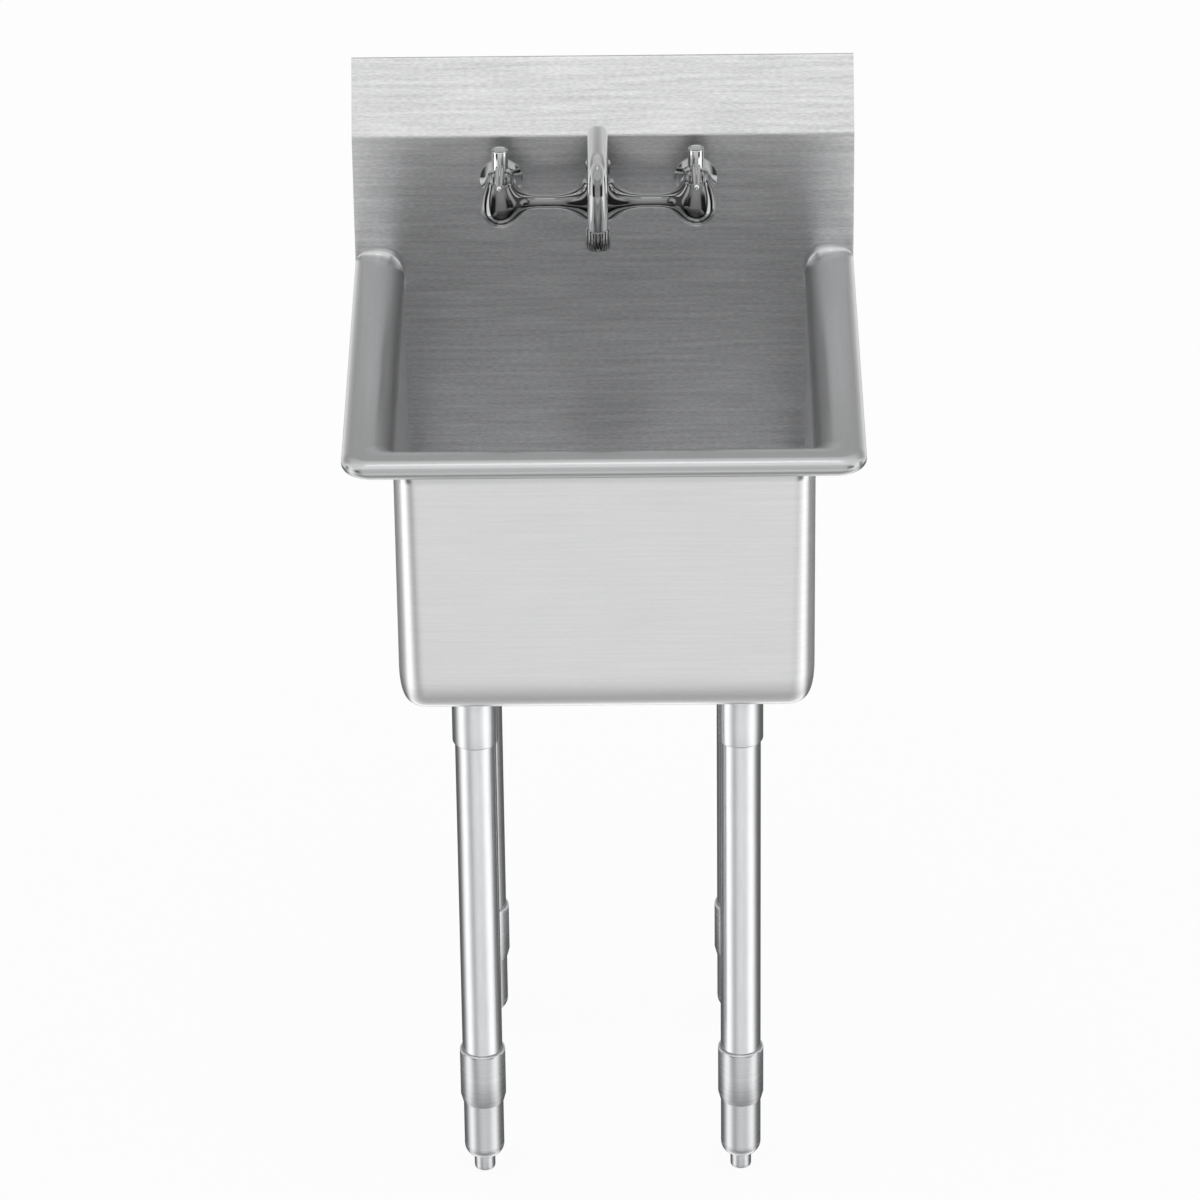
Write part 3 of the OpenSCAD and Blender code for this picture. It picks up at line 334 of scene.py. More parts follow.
def metal(name, dark, light, gloss, matt, across, along, mapped=True, lean=0.0, depth=0.0,
          painted_reflection=()):
    """Polished or brushed metal: its colour runs from dark to light with the grain, and its
    roughness from gloss to matt. lean is how far the grain draws out reflections. For plating,
    the ramp stops given last paint reflections into its colour, as light and dark bands from
    where it faces the eye (0) to its edge (1)."""
    made = bpy.data.materials.new(name)
    made.use_nodes = True
    tree = made.node_tree
    tree.nodes.clear()
    place = wire(tree, "ShaderNodeTexCoord").outputs
    scratch, streak = wire(tree, "ShaderNodeGroup", node_tree=grain,
                           Place=place["UV" if mapped else "Object"], Across=float(across),
                           Along=float(along)).outputs
    wiped = wire(tree, "ShaderNodeGroup", node_tree=cloud, Place=place["Object"]).outputs[0]
    tone = mingle(tree, share_out(tree, scratch, streak, 0.5), (*dark, 1), (*light, 1))
    if painted_reflection:
        # Painted reflection: a ramp on how far the face turns from the eye darkens and lightens the
        # colour in bands, standing in for what it would reflect
        turned_away = wire(tree, "ShaderNodeLayerWeight", Blend=0.5).outputs["Facing"]
        tone = mingle(tree, 1.0, tone, ramp(tree, turned_away, painted_reflection), "MULTIPLY")
    rough = wire(tree, "ShaderNodeMapRange", Value=share_out(tree, scratch, wiped, 0.6),
                 To_Min=gloss, To_Max=matt).outputs[0]
    shell = wire(tree, "ShaderNodeBsdfPrincipled", Base_Color=tone, Metallic=1.0, Roughness=rough,
                 Anisotropic=float(lean))
    if lean and mapped:
        grain_way = wire(tree, "ShaderNodeTangent", direction_type="UV_MAP", uv_map="grain")
        tree.links.new(grain_way.outputs[0], shell.inputs["Tangent"])
    if depth:
        relief = wire(tree, "ShaderNodeBump", Strength=float(depth), Distance=0.0001,
                      Height=scratch)
        tree.links.new(relief.outputs[0], shell.inputs["Normal"])
    wire(tree, "ShaderNodeOutputMaterial", Surface=shell.outputs[0])
    return made


bowl_steel = metal("bowl_steel", (0.79, 0.792, 0.797), (0.88, 0.882, 0.887), 0.28, 0.32,
                   across=1200, along=120, lean=0.5)

# The walls go straight down into the cove, whose beginning is drawn out upwards by cove_start
wall_z = np.linspace(seam_z, floor_z + cove_r + cove_start, 14)[:-1]
share = np.linspace(0, 1, 28)
start = cove_start * np.clip(1 - share * 2, 0, None) ** 2
height = np.concatenate([wall_z, floor_z + start + cove_r * (1 - np.sin(share * np.pi / 2))])
inset = np.concatenate([0 * wall_z, cove_r * (1 - np.cos(share * np.pi / 2))])
corner_r = np.maximum(np.interp(height, upright_z, upright_r) - inset, least_corner_r)
plan = u_path(bowl_half - inset, bowl_front + inset, splash_y, corner_r)
walls = raised(plan, height)

# The floor runs from the cove's edge to a circle round the drain and steps down into the recess
edge = plan[-1]
ring = np.concatenate([edge, np.linspace(edge[-1], edge[0], 30)[1:]])
out = ring - [0, drain_y]
out = out / np.linalg.norm(out, axis=1)[:, None]
brink_r = recess_r + sheet_t
share = np.linspace(0, 1, 9)[:, None, None]
level_rows = (1 - share) * ring + share * (out * brink_r + [0, drain_y])
step_r = np.array([brink_r, brink_r, ledge_r, drain_hole_r])[:, None, None]
step_rows = out * step_r + [0, drain_y]
low_by = np.repeat([0, recess_depth], [len(level_rows) + 1, len(step_rows) - 1])
pan = raised(np.concatenate([level_rows, step_rows]), floor_z - low_by)
piece("bowl_sheet", [skin(walls, (0, 0, 720)), skin(pan, (0, 0, 5000))], bowl_steel, "sink",
      ["bowl"], crease=50, thick=sheet_t)

# Rim.
# The rolled rim on three sides: the sheet bends out of the bowl, runs level and rolls over into
# a round edge. The two front corners are mitred, welded and polished smooth.
lip_r = 29.0
roll_r = 10.0
roll_x = 39.6
hem = 5.0
corner_at = [0, 3, 30, 49, 60, 76, 100]
corner_r = [22.8, 22.8, 14.5, 16, 21, 26, 26]
smooth_over = 5


def closed(there, back):
    """A line and the line beside it, joined into one loop."""
    return np.concatenate([there, back[::-1], there[:1]])


# Side view: reach is the distance out from the bowl's wall, and drop is the height from rim_z,
# below 0; outward and upward point out of the sheet there, and travel is the length along it
bend_up = np.linspace(0, np.pi / 2, 22)
over = np.linspace(np.pi / 2, -np.pi / 2, 26)
reach = np.concatenate([[0.0], lip_r - lip_r * np.cos(bend_up),
                        [(lip_r + roll_x) / 2], roll_x + roll_r * np.cos(over), [roll_x - hem]])
drop = np.concatenate([[seam_z - rim_z], -lip_r + lip_r * np.sin(bend_up),
                       [0.0], -roll_r + roll_r * np.sin(over), [-2 * roll_r]])
outward = np.concatenate([[-1.0], -np.cos(bend_up), [0.0], np.cos(over), [0.0]])
upward = np.concatenate([[0.0], np.sin(bend_up), [1.0], np.sin(over), [-1.0]])
travel = np.concatenate([[0], np.cumsum(np.hypot(np.diff(reach), np.diff(drop)))])
corner = np.interp(travel, corner_at, corner_r)
corner = np.convolve(np.pad(corner, smooth_over // 2, mode="edge"),
                     np.ones(smooth_over) / smooth_over, "valid")
reach_loop = closed(reach, reach - sheet_t * outward)
drop_loop = closed(drop, drop - sheet_t * upward)
corner_loop = closed(corner, corner - sheet_t * outward)
plan = u_path(bowl_half - sheet_t + reach_loop, bowl_front + sheet_t - reach_loop, splash_y,
              corner_loop, bend=28)
rim_steel = metal("rim_steel", (0.57, 0.575, 0.58), (0.64, 0.645, 0.65), 0.27, 0.31,
                  across=1600, along=60, lean=0.3)
piece("rim_sheet", [skin(raised(plan, rim_z + drop_loop), (0, 0, 890))], rim_steel, "sink",
      ["rolled_rim"], cap=True)

# Backsplash.
# One sheet, brushed level, which runs from the bowl's floor up behind the rim, bends back into
# a sloped return and folds down at the top. It is also the bowl's back wall.
half_w = 255.4
bend_z = 1027.5
bend_r = 5.0
return_lean = np.radians(35)
return_len = 80.0
fold_r = 3.0
fold_drop = 18.0

# Side view of the upper sheet: upright, the bend, the return and the fold at the top
tangent = bend_r * np.tan(return_lean / 2)
square_top = bend_z - tangent
under_roll = rim_z - 2 * roll_r
turn = np.linspace(0, return_lean, 9)
side_y = [np.zeros(12), bend_r * (1 - np.cos(turn))]
side_z = [np.linspace(under_roll, square_top, 12), square_top + bend_r * np.sin(turn)]
slope = np.linspace(0, return_len - tangent, 14)[1:]
side_y.append(side_y[1][-1] + slope * np.sin(return_lean))
side_z.append(side_z[1][-1] + slope * np.cos(return_lean))
turn = np.linspace(np.pi - return_lean, 0, 18)[1:]
fold_y = side_y[2][-1] + fold_r * np.cos(return_lean)
fold_z = side_z[2][-1] - fold_r * np.sin(return_lean)
side_y += [fold_y + fold_r * np.cos(turn), [fold_y + fold_r]]
side_z += [fold_z + fold_r * np.sin(turn), [fold_z - fold_drop]]
side_y, side_z = np.concatenate(side_y), np.concatenate(side_z)

# Its back stands off by the sheet's thickness, square to the line
way = np.stack([np.gradient(side_y), np.gradient(side_z)], -1)
way = way / np.linalg.norm(way, axis=1)[:, None]
loop_y = closed(side_y, side_y + sheet_t * way[:, 1])
loop_z = closed(side_z, side_z - sheet_t * way[:, 0])
wide = np.linspace(-half_w, half_w, 41)
upper = np.stack(np.broadcast_arrays(wide[None, :], (splash_y + loop_y)[:, None],
                                     loop_z[:, None]), -1)

# The lower sheet is as wide as the bowl, and narrower over the height of the cove
rows = np.concatenate([cove_r * (1 - np.cos(np.linspace(0, np.pi / 2, 14))),
                       np.linspace(cove_r, under_roll - floor_z, 16)[1:]])
in_cove = np.clip(cove_r - rows, 0, None)
half = bowl_half - cove_r + np.sqrt(np.clip(cove_r ** 2 - in_cove ** 2, 0, None))
share = np.linspace(-1, 1, 41)
lower = np.stack(np.broadcast_arrays(
    share[None, :] * closed(half, half)[:, None],
    (splash_y + closed(0 * rows, sheet_t + 0 * rows))[:, None],
    (floor_z + closed(rows, rows))[:, None]), -1)
splash_steel = metal("splash_steel", (0.53, 0.532, 0.538), (0.84, 0.842, 0.848), 0.28, 0.32,
                     across=650, along=160, lean=0.6)
piece("splash_sheet", [skin(upper, (0, splash_y, 1000)),
                       skin(lower, (0, splash_y + sheet_t / 2, 720))],
      splash_steel, "sink", ["backsplash"], cap=True)

# Weld fillets.
# Each end of the rim is welded to the backsplash; the bead is ground to a smooth hollow that
# fades out at the rolled edge and runs down into the corner of the bowl.
bead_at = [3, 20, 34, 48, 58, 68, 79]
bead_leg = [0.4, 6.0, 11.0, 9.0, 6.5, 1.5, 0.3]
bead_root = 0.4
bead_out = 25.0
line = np.arange(1, 40)

# A quarter circle, hollow side out, from the rim's skin to the backsplash's face: at the angle
# a, it stands leg * (1 - sin a) off the rim and leg * (1 - cos a) ahead of the backsplash
a = np.linspace(0, 1, 13)[None, :] * np.pi / 2
leg = np.interp(travel[line], bead_at, bead_leg)[:, None]
off_rim = leg * (1 - np.sin(a))
off_splash = leg * (1 - np.cos(a))
root = np.full((len(line), 1), -bead_root)
off_rim = np.concatenate([off_rim, root, off_rim[:, :1]], 1)
off_splash = np.concatenate([off_splash, root, off_splash[:, :1]], 1)
bead_x = bowl_half - sheet_t + reach[line, None] + off_rim * outward[line, None]
bead_x = np.minimum(bead_x, half_w)
bead_z = rim_z + drop[line, None] + off_rim * upward[line, None]
for side, sign in (("left", -1), ("right", 1)):
    bead = np.stack([sign * bead_x, splash_y - off_splash, bead_z], -1)
    heart = (sign * (bowl_half + bead_out), splash_y, rim_z - roll_r)
    piece(f"rim_weld_{side}", [skin(bead, heart)], rim_steel, "sink", [], cap=True)

# Legs, sockets and feet.
# Drawn tubes in stamped cups welded under two channels. A turned collar closes each leg and
# holds a pressed bullet foot, which screws in and out to level the sink.
leg_x = 133.65
leg_apart = 139.9
tube_r = 20.65
tube_wall = 1.2
tube_low, tube_top = 120.2, 574.4
tube_rows = (200, 400)
socket_bore_r = 20.8
socket_r = 23.1
socket_low, socket_top = 518.8, 574.5
socket_mouth = 2.1
brim_r = 28.5
brim_t = 1.5
brim_bend = 3.0
socket_rows = (560, 540)
collar_bore_r = 20.95
collar_r = 23.5
collar_nose_r = 21.5
collar_nose = 8.0
collar_low, collar_top = 86.6, 150.2
collar_round = 2.5
collar_row = 120
tip_r = 10.8
tip_round = 4.5
tip_top = 18.6
shoulder_r = 14
groove_r = 20.3
foot_row = 100
foot_top = 111.9
screw_r = 6
screw_top = 158.8


def turned(profile, centre, axis="z", count=96, flutes=None):
    """A closed outline of (radius, height) carried once round an axis, z or y, through centre.
    flutes, if given, is a function of the angle that is added to the radius, times the share
    in the outline's third column."""
    profile, centre = np.asarray(profile, float), np.asarray(centre, float)
    angle = np.linspace(0, 2 * np.pi, count + 1)[None, :]
    radius, height = profile[:, :1], profile[:, 1:2] + 0 * angle
    if flutes is not None:
        radius = radius + flutes(angle) * profile[:, 2:3]
    a, b = radius * np.cos(angle), radius * np.sin(angle)
    upright = axis == "z"
    grid = np.stack([a, b, height] if upright else [b, height, a], -1) + centre
    way = np.array([0, 0, 1] if upright else [0, 1, 0])
    return skin(grid, centre + way * profile[:, 1].mean())


def arc(centre, radius, start, end, count=10):
    """Points of a circular arc in the outline's plane, from start to end in degrees."""
    angle = np.radians(np.linspace(start, end, count))
    return np.column_stack([centre[0] + radius * np.cos(angle), centre[1] + radius * np.sin(angle)])


def dress(material, *nodes):
    """Gives CAD nodes their finish."""
    for name in nodes:
        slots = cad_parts[name].data.materials
        slots.clear()
        slots.append(material)


leg_steel = metal("leg_steel", (0.66, 0.67, 0.68), (0.76, 0.77, 0.78), 0.16, 0.22,
                  across=60, along=1400, depth=0.04)
collar_steel = metal("collar_steel", (0.58, 0.59, 0.60), (0.70, 0.71, 0.72), 0.22, 0.32,
                     across=1500, along=20, lean=0.4, depth=0.1)
foot_steel = metal("foot_steel", (0.58, 0.59, 0.60), (0.70, 0.71, 0.72), 0.20, 0.28,
                   across=1500, along=20, lean=0.3, depth=0.08)
brim_low = socket_top - brim_t
socket_out = np.vstack([
    [socket_bore_r, socket_top], [brim_r, socket_top], [brim_r, brim_low],
    arc((socket_r + brim_bend, brim_low - brim_bend), brim_bend, 90, 180),
    *[[socket_r, row] for row in socket_rows],
    arc((socket_r - socket_mouth, socket_low + socket_mouth), socket_mouth, 0, -90),
    [socket_bore_r, socket_low], [socket_bore_r, socket_top]])
leg_out = np.vstack([
    [tube_r, tube_low], *[[tube_r, row] for row in tube_rows], [tube_r, tube_top],
    [tube_r - tube_wall, tube_top], [tube_r - tube_wall, tube_low], [tube_r, tube_low]])
collar_out = np.vstack([
    [collar_bore_r, collar_low], [collar_nose_r, collar_low],
    [collar_r, collar_low + collar_nose], [collar_r, collar_row],
    arc((collar_r - collar_round, collar_top - collar_round), collar_round, 0, 90),
    [collar_bore_r, collar_top], [collar_bore_r, collar_low]])

# The bullet's shoulder is an arc that starts on the tip and ends upright on the tube's radius
shoulder_x = tube_r - shoulder_r
shoulder_h = np.sqrt(shoulder_r ** 2 - (tip_r - shoulder_x) ** 2)
barrel_z = tip_top + shoulder_h
from_angle = -np.degrees(np.arcsin(shoulder_h / shoulder_r))
foot_out = np.vstack([
    [0, 0], arc((tip_r - tip_round, tip_round), tip_round, -90, 0), [tip_r, tip_top],
    arc((shoulder_x, barrel_z), shoulder_r, from_angle, 0, 16),
    [tube_r, barrel_z + 0.4], [groove_r, barrel_z + 0.6], [groove_r, barrel_z + 1.0],
    [tube_r, barrel_z + 1.2], [tube_r, foot_row], [tube_r, foot_top], [screw_r, foot_top],
    [screw_r, screw_top], [0, screw_top]])
for row, leg_y in (("front", drain_y - leg_apart), ("back", drain_y + leg_apart)):
    for side, sign in (("left", -1), ("right", 1)):
        spot = (sign * leg_x, leg_y, 0)
        end = f"{row}_{side}"
        piece(f"cup_{end}", [turned(socket_out, spot)], leg_steel, "sink",
              [f"socket_{end}"], cap=True)
        piece(f"tube_{end}", [turned(leg_out, spot)], leg_steel, "sink",
              [f"leg_{end}"], cap=True)
        piece(f"sleeve_{end}", [turned(collar_out, spot)], collar_steel, "sink",
              [f"collar_{end}"], cap=True)
        piece(f"bullet_{end}", [turned(foot_out, spot)], foot_steel, f"foot_{end}",
              [f"foot_{end}"], cap=True)

bracket_steel = metal("bracket_steel", (0.45, 0.46, 0.47), (0.60, 0.61, 0.62), 0.30, 0.45,
                      across=60, along=60, mapped=False)
screw_steel = metal("screw_steel", (0.35, 0.35, 0.36), (0.55, 0.55, 0.56), 0.25, 0.4,
                    across=400, along=400, mapped=False)
dress(bracket_steel, "channel_left", "channel_right")
dress(screw_steel, "socket_set_screws")


# Drain.
# A basket strainer clamped to the bowl floor between a rubber gasket and a fibre ring by a cast
# locknut; a moulded nut draws the tailpiece up under it. The basket lifts out by its knob.
def moulded(name, dark, light, gloss, matt):
    """Moulded or pressed stuff that isn't metal: fine mottling of colour and gloss."""
    made = bpy.data.materials.new(name)
    made.use_nodes = True
    tree = made.node_tree
    tree.nodes.clear()
    spot = wire(tree, "ShaderNodeTexCoord").outputs["Object"]
    noise = wire(tree, "ShaderNodeTexNoise", Vector=spot, Scale=300.0, Detail=4.0,
                 Roughness=0.6).outputs[0]
    wiped = wire(tree, "ShaderNodeGroup", node_tree=cloud, Place=spot, Scale=40.0).outputs[0]
    mark = share_out(tree, noise, wiped, 0.6)
    tone = mingle(tree, mark, (*dark, 1), (*light, 1))
    rough = wire(tree, "ShaderNodeMapRange", Value=mark, To_Min=gloss, To_Max=matt).outputs[0]
    relief = wire(tree, "ShaderNodeBump", Strength=0.1, Distance=0.0002, Height=noise)
    shell = wire(tree, "ShaderNodeBsdfPrincipled", Base_Color=tone, Roughness=rough,
                 Normal=relief.outputs[0])
    wire(tree, "ShaderNodeOutputMaterial", Surface=shell.outputs[0])
    return made


drain_steel = metal("drain_steel", (0.60, 0.60, 0.61), (0.74, 0.74, 0.75), 0.14, 0.24,
                    across=120, along=120, mapped=False)
tail_chrome = metal("tail_chrome", (0.72, 0.73, 0.74), (0.80, 0.81, 0.82), 0.06, 0.12,
                    across=60, along=60, mapped=False)
locknut_metal = metal("locknut_metal", (0.32, 0.32, 0.33), (0.45, 0.45, 0.46), 0.45, 0.6,
                      across=500, along=500, mapped=False, depth=0.4)
dress(drain_steel, "strainer_body", "strainer_basket", "basket_knob")
dress(tail_chrome, "tailpiece")
dress(locknut_metal, "drain_locknut")
dress(moulded("seal_rubber", (0.015, 0.015, 0.016), (0.035, 0.035, 0.036), 0.55, 0.8),
      "drain_gasket", "basket_stopper", "spout_seal", "shank_washers")
dress(moulded("fibre_ring", (0.42, 0.30, 0.18), (0.58, 0.44, 0.29), 0.8, 0.95), "friction_ring")
dress(moulded("nut_plastic", (0.05, 0.05, 0.055), (0.10, 0.10, 0.105), 0.35, 0.5), "coupling_nut")
dress(moulded("white_plastic", (0.70, 0.70, 0.68), (0.82, 0.82, 0.80), 0.3, 0.45),
      "tail_washer", "aerator_screen")
dress(moulded("cartridge_plastic", (0.55, 0.55, 0.52), (0.70, 0.70, 0.66), 0.35, 0.5),
      "hot_cartridge", "cold_cartridge")

# Tap body.
# A cast and chrome-plated bridge: two pear-shaped valve housings and a centre hub grow out of
# one round bar. Two hexagon nuts draw it onto the shanks that come through the backsplash.
tap_x = -5.0
tap_z = 980.0
tap_y = splash_y - 55.0
inlet = 99.0
pear_r = 20.8
pear_drop = 6.5
pear_top = 25.0
pear_fillet = 17.0
swell_r = 62.0
bar_r = 7.3
bar_short = 6
hub_r = 12.4
hub_low, hub_top = -12, 20
hub_round = 2.5
hub_fillet = 34.0
tail_r = 9.6
tail_from, tail_to = 8, 42.7
tail_row = 20
disc_bore_r = 11
disc_r = 21.3
disc_t = 4.0


def plated(name, painted_reflection):
    """Bright chrome plating. Its ramp stops paint into its colour the light and dark bands that
    what stands round it would reflect.
    """
    return metal(name, (0.84, 0.845, 0.85), (0.91, 0.915, 0.92), 0.03, 0.07, across=30, along=30,
                 mapped=False, painted_reflection=painted_reflection)


def blend(a, b, fillet):
    """The nearer of two distances, rounded off where they differ by less than the fillet."""
    near = np.clip(1 - np.abs(a - b) / fillet, 0, None)
    return np.minimum(a, b) - near ** 2 * fillet / 4


def casting(x, y, z):
    """Distance from the casting's skin: a pear is a ball below and the inside of a wide arc
    turned round the axis above, the bar a round rod, the hub an upright rod; they are joined
    with soft fillets."""
    past_bar = np.clip(np.abs(x) - inlet + bar_short, 0, None)
    rod = np.sqrt(past_bar ** 2 + y ** 2 + z ** 2) - bar_r
    beside = np.hypot(x, y) - hub_r + hub_round
    beyond = np.maximum(hub_low - z, z - hub_top)
    hub = np.where((beside > 0) & (beyond > 0), np.hypot(beside, beyond),
                   np.maximum(beside, beyond)) - hub_round
    whole = blend(rod, np.maximum(hub, z - hub_top), hub_fillet)
    for side in (-inlet, inlet):
        ring = np.hypot(x - side, y)
        up = z + pear_drop
        ball = np.hypot(ring, up) - pear_r
        swell = np.hypot(ring + swell_r - pear_r, up) - swell_r
        pear = np.maximum(np.where(up < 0, ball, swell), z - pear_top)
        whole = blend(whole, pear, pear_fillet)
    return np.maximum(whole, z - pear_top)


def cast_skin(count=72, halvings=34, farthest=45.0):
    """For each slice across the bar and each angle round it, the distance out from the slice's
    middle to the skin is found by halving an interval. The slices crowd towards the ends."""
    end = np.sin(np.linspace(0, np.pi / 2, 30)) * (pear_r + 0.02)
    x = np.concatenate([-inlet - end[::-1], np.linspace(-inlet, inlet, 190)[1:-1], inlet + end])
    middle = -pear_drop * np.clip((np.abs(x) - inlet) / pear_r, 0, 1) ** 0.5
    angle = np.linspace(0, 2 * np.pi, count + 1)[None, :]
    x, middle = x[:, None] + 0 * angle, middle[:, None] + 0 * angle
    near, far = 0 * x, 0 * x + farthest
    for _ in range(halvings):
        half = (near + far) / 2
        outside = casting(x, half * np.cos(angle), middle + half * np.sin(angle)) > 0
        near, far = np.where(outside, near, half), np.where(outside, half, far)
    grid = np.stack([x + tap_x, tap_y + near * np.cos(angle),
                     tap_z + middle + near * np.sin(angle)], -1)
    return skin(grid, (tap_x, tap_y, tap_z))


# Painted reflection: these stops paint dark rings and light bands into the tap body's colour by how
# far it turns from the eye
tap_chrome = plated("tap_chrome", [
    (0.0, 0.32), (0.03, 0.25), (0.06, 0.22), (0.11, 0.30), (0.135, 0.20), (0.15, 0.20),
    (0.16, 0.04), (0.205, 0.04), (0.225, 0.55), (0.31, 0.50), (0.335, 0.05), (0.43, 0.06),
    (0.46, 0.50), (0.60, 0.60), (0.68, 1.0)])
# Painted reflection: these stops paint a dark ring and a light edge into the trim's colour by how
# far it turns from the eye
trim_chrome = plated("trim_chrome", [
    (0.0, 0.60), (0.12, 1.0), (0.35, 1.0), (0.40, 0.15), (0.47, 0.15), (0.50, 0.50),
    (0.60, 0.60), (0.70, 1.0)])
tail_out = [[0, tail_from], [tail_r, tail_from], [tail_r, tail_row], [tail_r, tail_to],
            [0, tail_to]]
tails = [turned(tail_out, (tap_x + sign * inlet, tap_y, tap_z), "y", 48) for sign in (-1, 1)]
piece("bridge_casting", [cast_skin(), *tails], tap_chrome, "sink", ["tap_body"],
      cap=True)
disc_out = np.vstack([
    [disc_bore_r, 0], [disc_r, 0], arc((disc_r - 0.4, -1.0), 1.0, 60, -20, 5), [17, -3.2],
    [12.6, -disc_t], [disc_bore_r, -disc_t], [disc_bore_r, 0]])
for side, sign in (("left", -1), ("right", 1)):
    spot = (tap_x + sign * inlet, splash_y, tap_z)
    piece(f"cover_disc_{side}", [turned(disc_out, spot, "y")], trim_chrome, "sink",
          [f"wall_flange_{side}"], cap=True)
brass = metal("brass", (0.55, 0.42, 0.20), (0.70, 0.55, 0.28), 0.22, 0.35, across=400, along=400,
              mapped=False)
dress(tap_chrome, "union_nut_left", "union_nut_right")
dress(brass, "inlet_shank_left", "inlet_shank_right", "shank_nuts", "hot_stem", "cold_stem")
dress(screw_steel, "hot_handle_screw", "cold_handle_screw")

# Valves and levers.
# A turned bonnet screws into each housing. The round grip above it carries a tapered pin lever,
# and a plain cap covers its screw.
bonnet_bore_r = 3.6
bonnet_neck_r = 9.4
bonnet_r = 12.4
bonnet_low, bonnet_top = 17.2, 35.4
bonnet_flutes, bonnet_flute_depth = 20, 0.45
grip_bore_r = 3.5
grip_neck_r = 6.4
grip_r = 8.25
grip_low, grip_top = 35.9, 58.7
grip_round = 0.8
grip_row = 48
cap_seat_r, cap_seat_z = 7.0, 57.0
cap_r = 6.9
cap_low = 56.9
lever_z = 40.8
lever_r = 4.75
lever_len = 52.8
lever_tip_r = 3.2


def fluting(count, depth):
    """Grooves with round bottoms: minus depth times the square of a raised cosine wave."""
    return lambda angle: -depth * (0.5 - 0.5 * np.cos(count * angle)) ** 2


bonnet_out = [
    [bonnet_bore_r, bonnet_low, 0], [bonnet_neck_r, bonnet_low, 0], [bonnet_neck_r, pear_top, 0],
    [bonnet_r - 0.6, pear_top, 0.6], [bonnet_r, pear_top + 0.5, 1], [bonnet_r, 32.0, 1],
    [bonnet_r - 0.6, 33.2, 0.6], [8.6, bonnet_top, 0], [bonnet_bore_r, bonnet_top, 0],
    [bonnet_bore_r, bonnet_low, 0]]
grip_out = np.vstack([
    [grip_bore_r, grip_low], [grip_neck_r, grip_low], [grip_neck_r, 37.6], [7.4, 38.1],
    [grip_r, 39.0], [grip_r, grip_row],
    arc((grip_r - grip_round, grip_top - grip_round), grip_round, 0, 90, 6),
    [cap_seat_r, grip_top], [cap_seat_r, cap_seat_z], [grip_bore_r, cap_seat_z],
    [grip_bore_r, grip_low]])
lever_out = np.vstack([
    [0, 0], [lever_r, 0], [4.6, -8], [4.0, -30], [3.25, -lever_len],
    arc((0, -lever_len), lever_tip_r, 0, -90, 8)])
cap_out = [[0, cap_low], [cap_r, cap_low], [cap_r, 58.2], [6.5, 58.5], [0, 58.65]]
for side, sign in (("hot", -1), ("cold", 1)):
    spot = (tap_x + sign * inlet, tap_y, tap_z)
    root = (spot[0], spot[1], tap_z + lever_z)
    ring = turned(bonnet_out, spot, count=120, flutes=fluting(bonnet_flutes, bonnet_flute_depth))
    piece(f"{side}_bonnet_ring", [ring], tap_chrome, "sink", [f"{side}_bonnet"],
          cap=True)
    piece(f"{side}_lever", [turned(grip_out, spot), turned(lever_out, root, "y", 48)],
          trim_chrome, f"{side}_handle", [f"{side}_handle"], cap=True)
    piece(f"{side}_plug", [turned(cap_out, spot)], trim_chrome, f"{side}_handle",
          [f"{side}_cap"], cap=True)

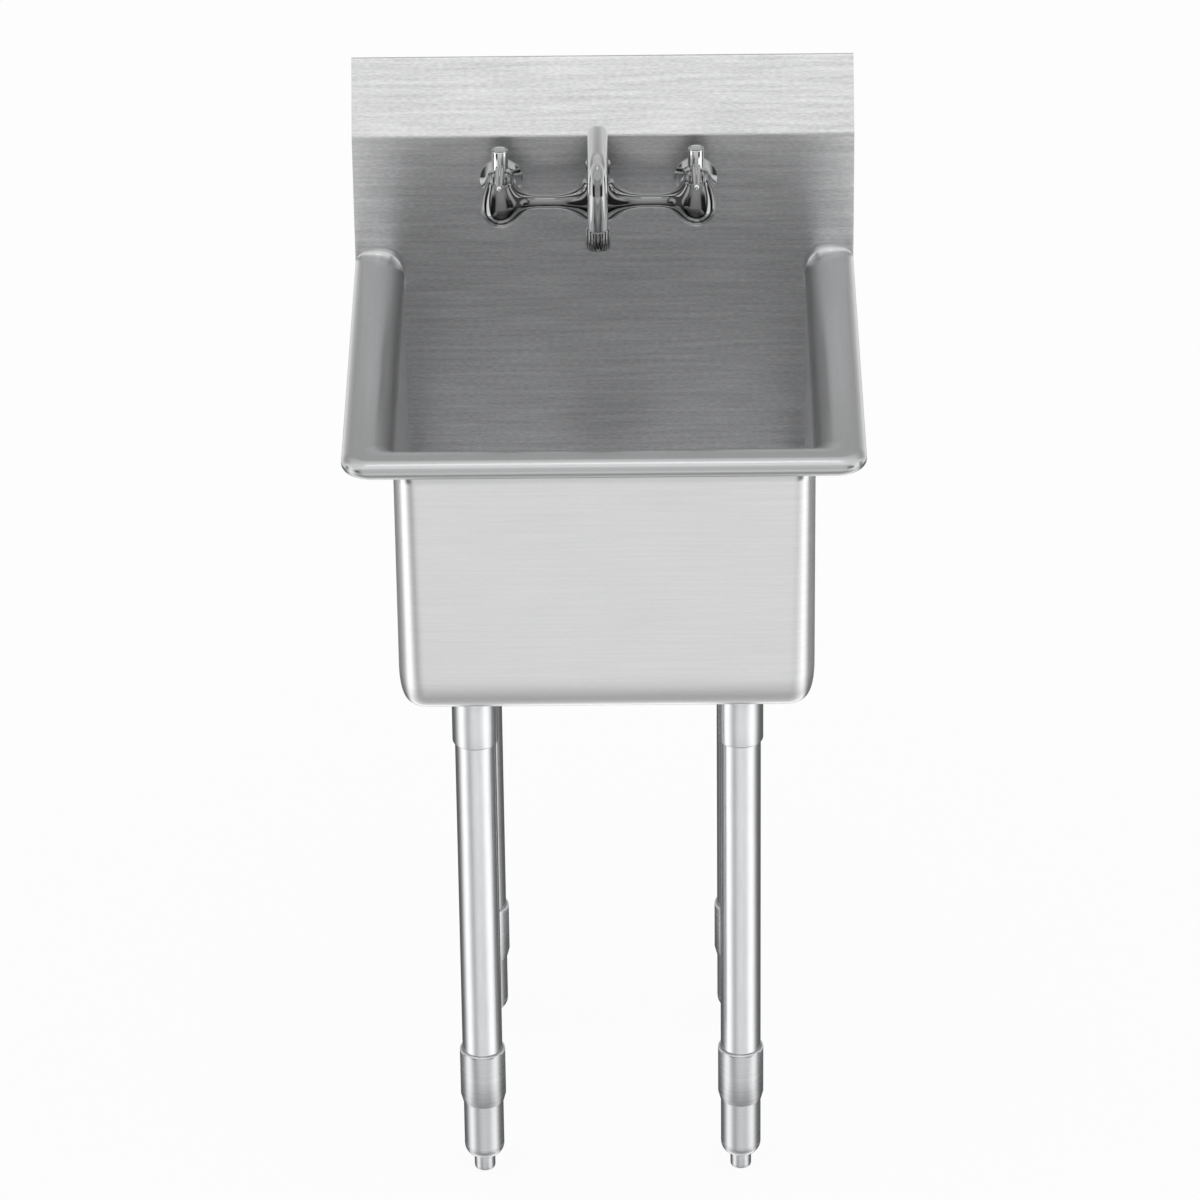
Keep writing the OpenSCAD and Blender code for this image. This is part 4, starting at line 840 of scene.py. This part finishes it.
# Spout.
# One bent tube: up out of the hub, forward and down to a fluted aerator. The tall nut holds it
# in the hub and lets it swivel.
spout_r = 10.2
spout_wall = 1.2
spout_bend = 24.0
spout_up = 84.0
spout_reach = 104.0
spout_low = 6
spout_end = 21.8
nut_bore_r = 10.6
nut_r = 12.9
nut_top = 44.0
nut_round = 1.5
nut_row = 30
shell_r = 12.5
shell_bore_r = 10.9
shell_neck_r = 9.3
shell_low, shell_top = 0.4, 21.7
shell_flutes, shell_flute_depth = 16, 0.5
quarter = np.radians(np.linspace(0, 90, 19))
upright = spout_up - spout_bend
way_y = np.concatenate([[0, 0, 0], -spout_bend * (1 - np.cos(quarter)),
                        -spout_reach + spout_bend * (1 - np.cos(quarter[::-1])),
                        [-spout_reach, -spout_reach]])
way_z = np.concatenate([[spout_low, 30, upright - 3], upright + spout_bend * np.sin(quarter),
                        upright + spout_bend * np.sin(quarter[::-1]), [upright - 6, spout_end]])
way_lean = np.concatenate([[0, 0, 0], quarter, np.pi - quarter[::-1], [np.pi, np.pi]])


def bent_tube(radius, count=64):
    """A circle carried along the spout's line; way_lean is the line's angle from upright."""
    angle = np.linspace(0, 2 * np.pi, count + 1)[None, :]
    out = radius * np.cos(angle)
    x = tap_x + radius * np.sin(angle) + 0 * way_y[:, None]
    y = tap_y + way_y[:, None] + out * np.cos(way_lean)[:, None]
    z = tap_z + way_z[:, None] + out * np.sin(way_lean)[:, None]
    return np.stack([x, y, z], -1)


# Painted reflection: these stops paint a darker middle and lighter edges into the spout's colour by
# how far it turns from the eye
spout_chrome = plated("spout_chrome", [
    (0.0, 0.38), (0.02, 0.33), (0.057, 0.38), (0.08, 0.36), (0.13, 0.38), (0.20, 0.56),
    (0.30, 0.60), (0.45, 0.85), (0.51, 0.95), (0.75, 0.85), (0.93, 1.0)])
tube = closed(bent_tube(spout_r), bent_tube(spout_r - spout_wall))
piece("spout_bent_tube", [skin(tube, (tap_x, tap_y - 52, tap_z + 60))], spout_chrome, "spout",
      ["spout_tube"], cap=True)
nut_out = np.vstack([
    [nut_bore_r, hub_top], [nut_r, hub_top], [nut_r, nut_row],
    arc((nut_r - nut_round, nut_top - nut_round), nut_round, 0, 90, 6),
    [nut_bore_r, nut_top], [nut_bore_r, hub_top]])
piece("spout_collar", [turned(nut_out, (tap_x, tap_y, tap_z))], tap_chrome, "sink",
      ["spout_nut"], cap=True)
shell_out = [
    [shell_neck_r, shell_top, 0], [11.4, shell_top, 0], [12.1, 21.0, 0], [shell_r, 20.0, 1],
    [shell_r, 10.0, 1], [shell_r, 1.2, 1], [12.0, shell_low, 0.6], [shell_bore_r, shell_low, 0],
    [shell_bore_r, 20.0, 0], [shell_neck_r, 20.3, 0], [shell_neck_r, shell_top, 0]]
shell = turned(shell_out, (tap_x, tap_y - spout_reach, tap_z), count=128,
               flutes=fluting(shell_flutes, shell_flute_depth))
piece("aerator_shell", [shell], tap_chrome, "spout", ["aerator_housing"], cap=True)
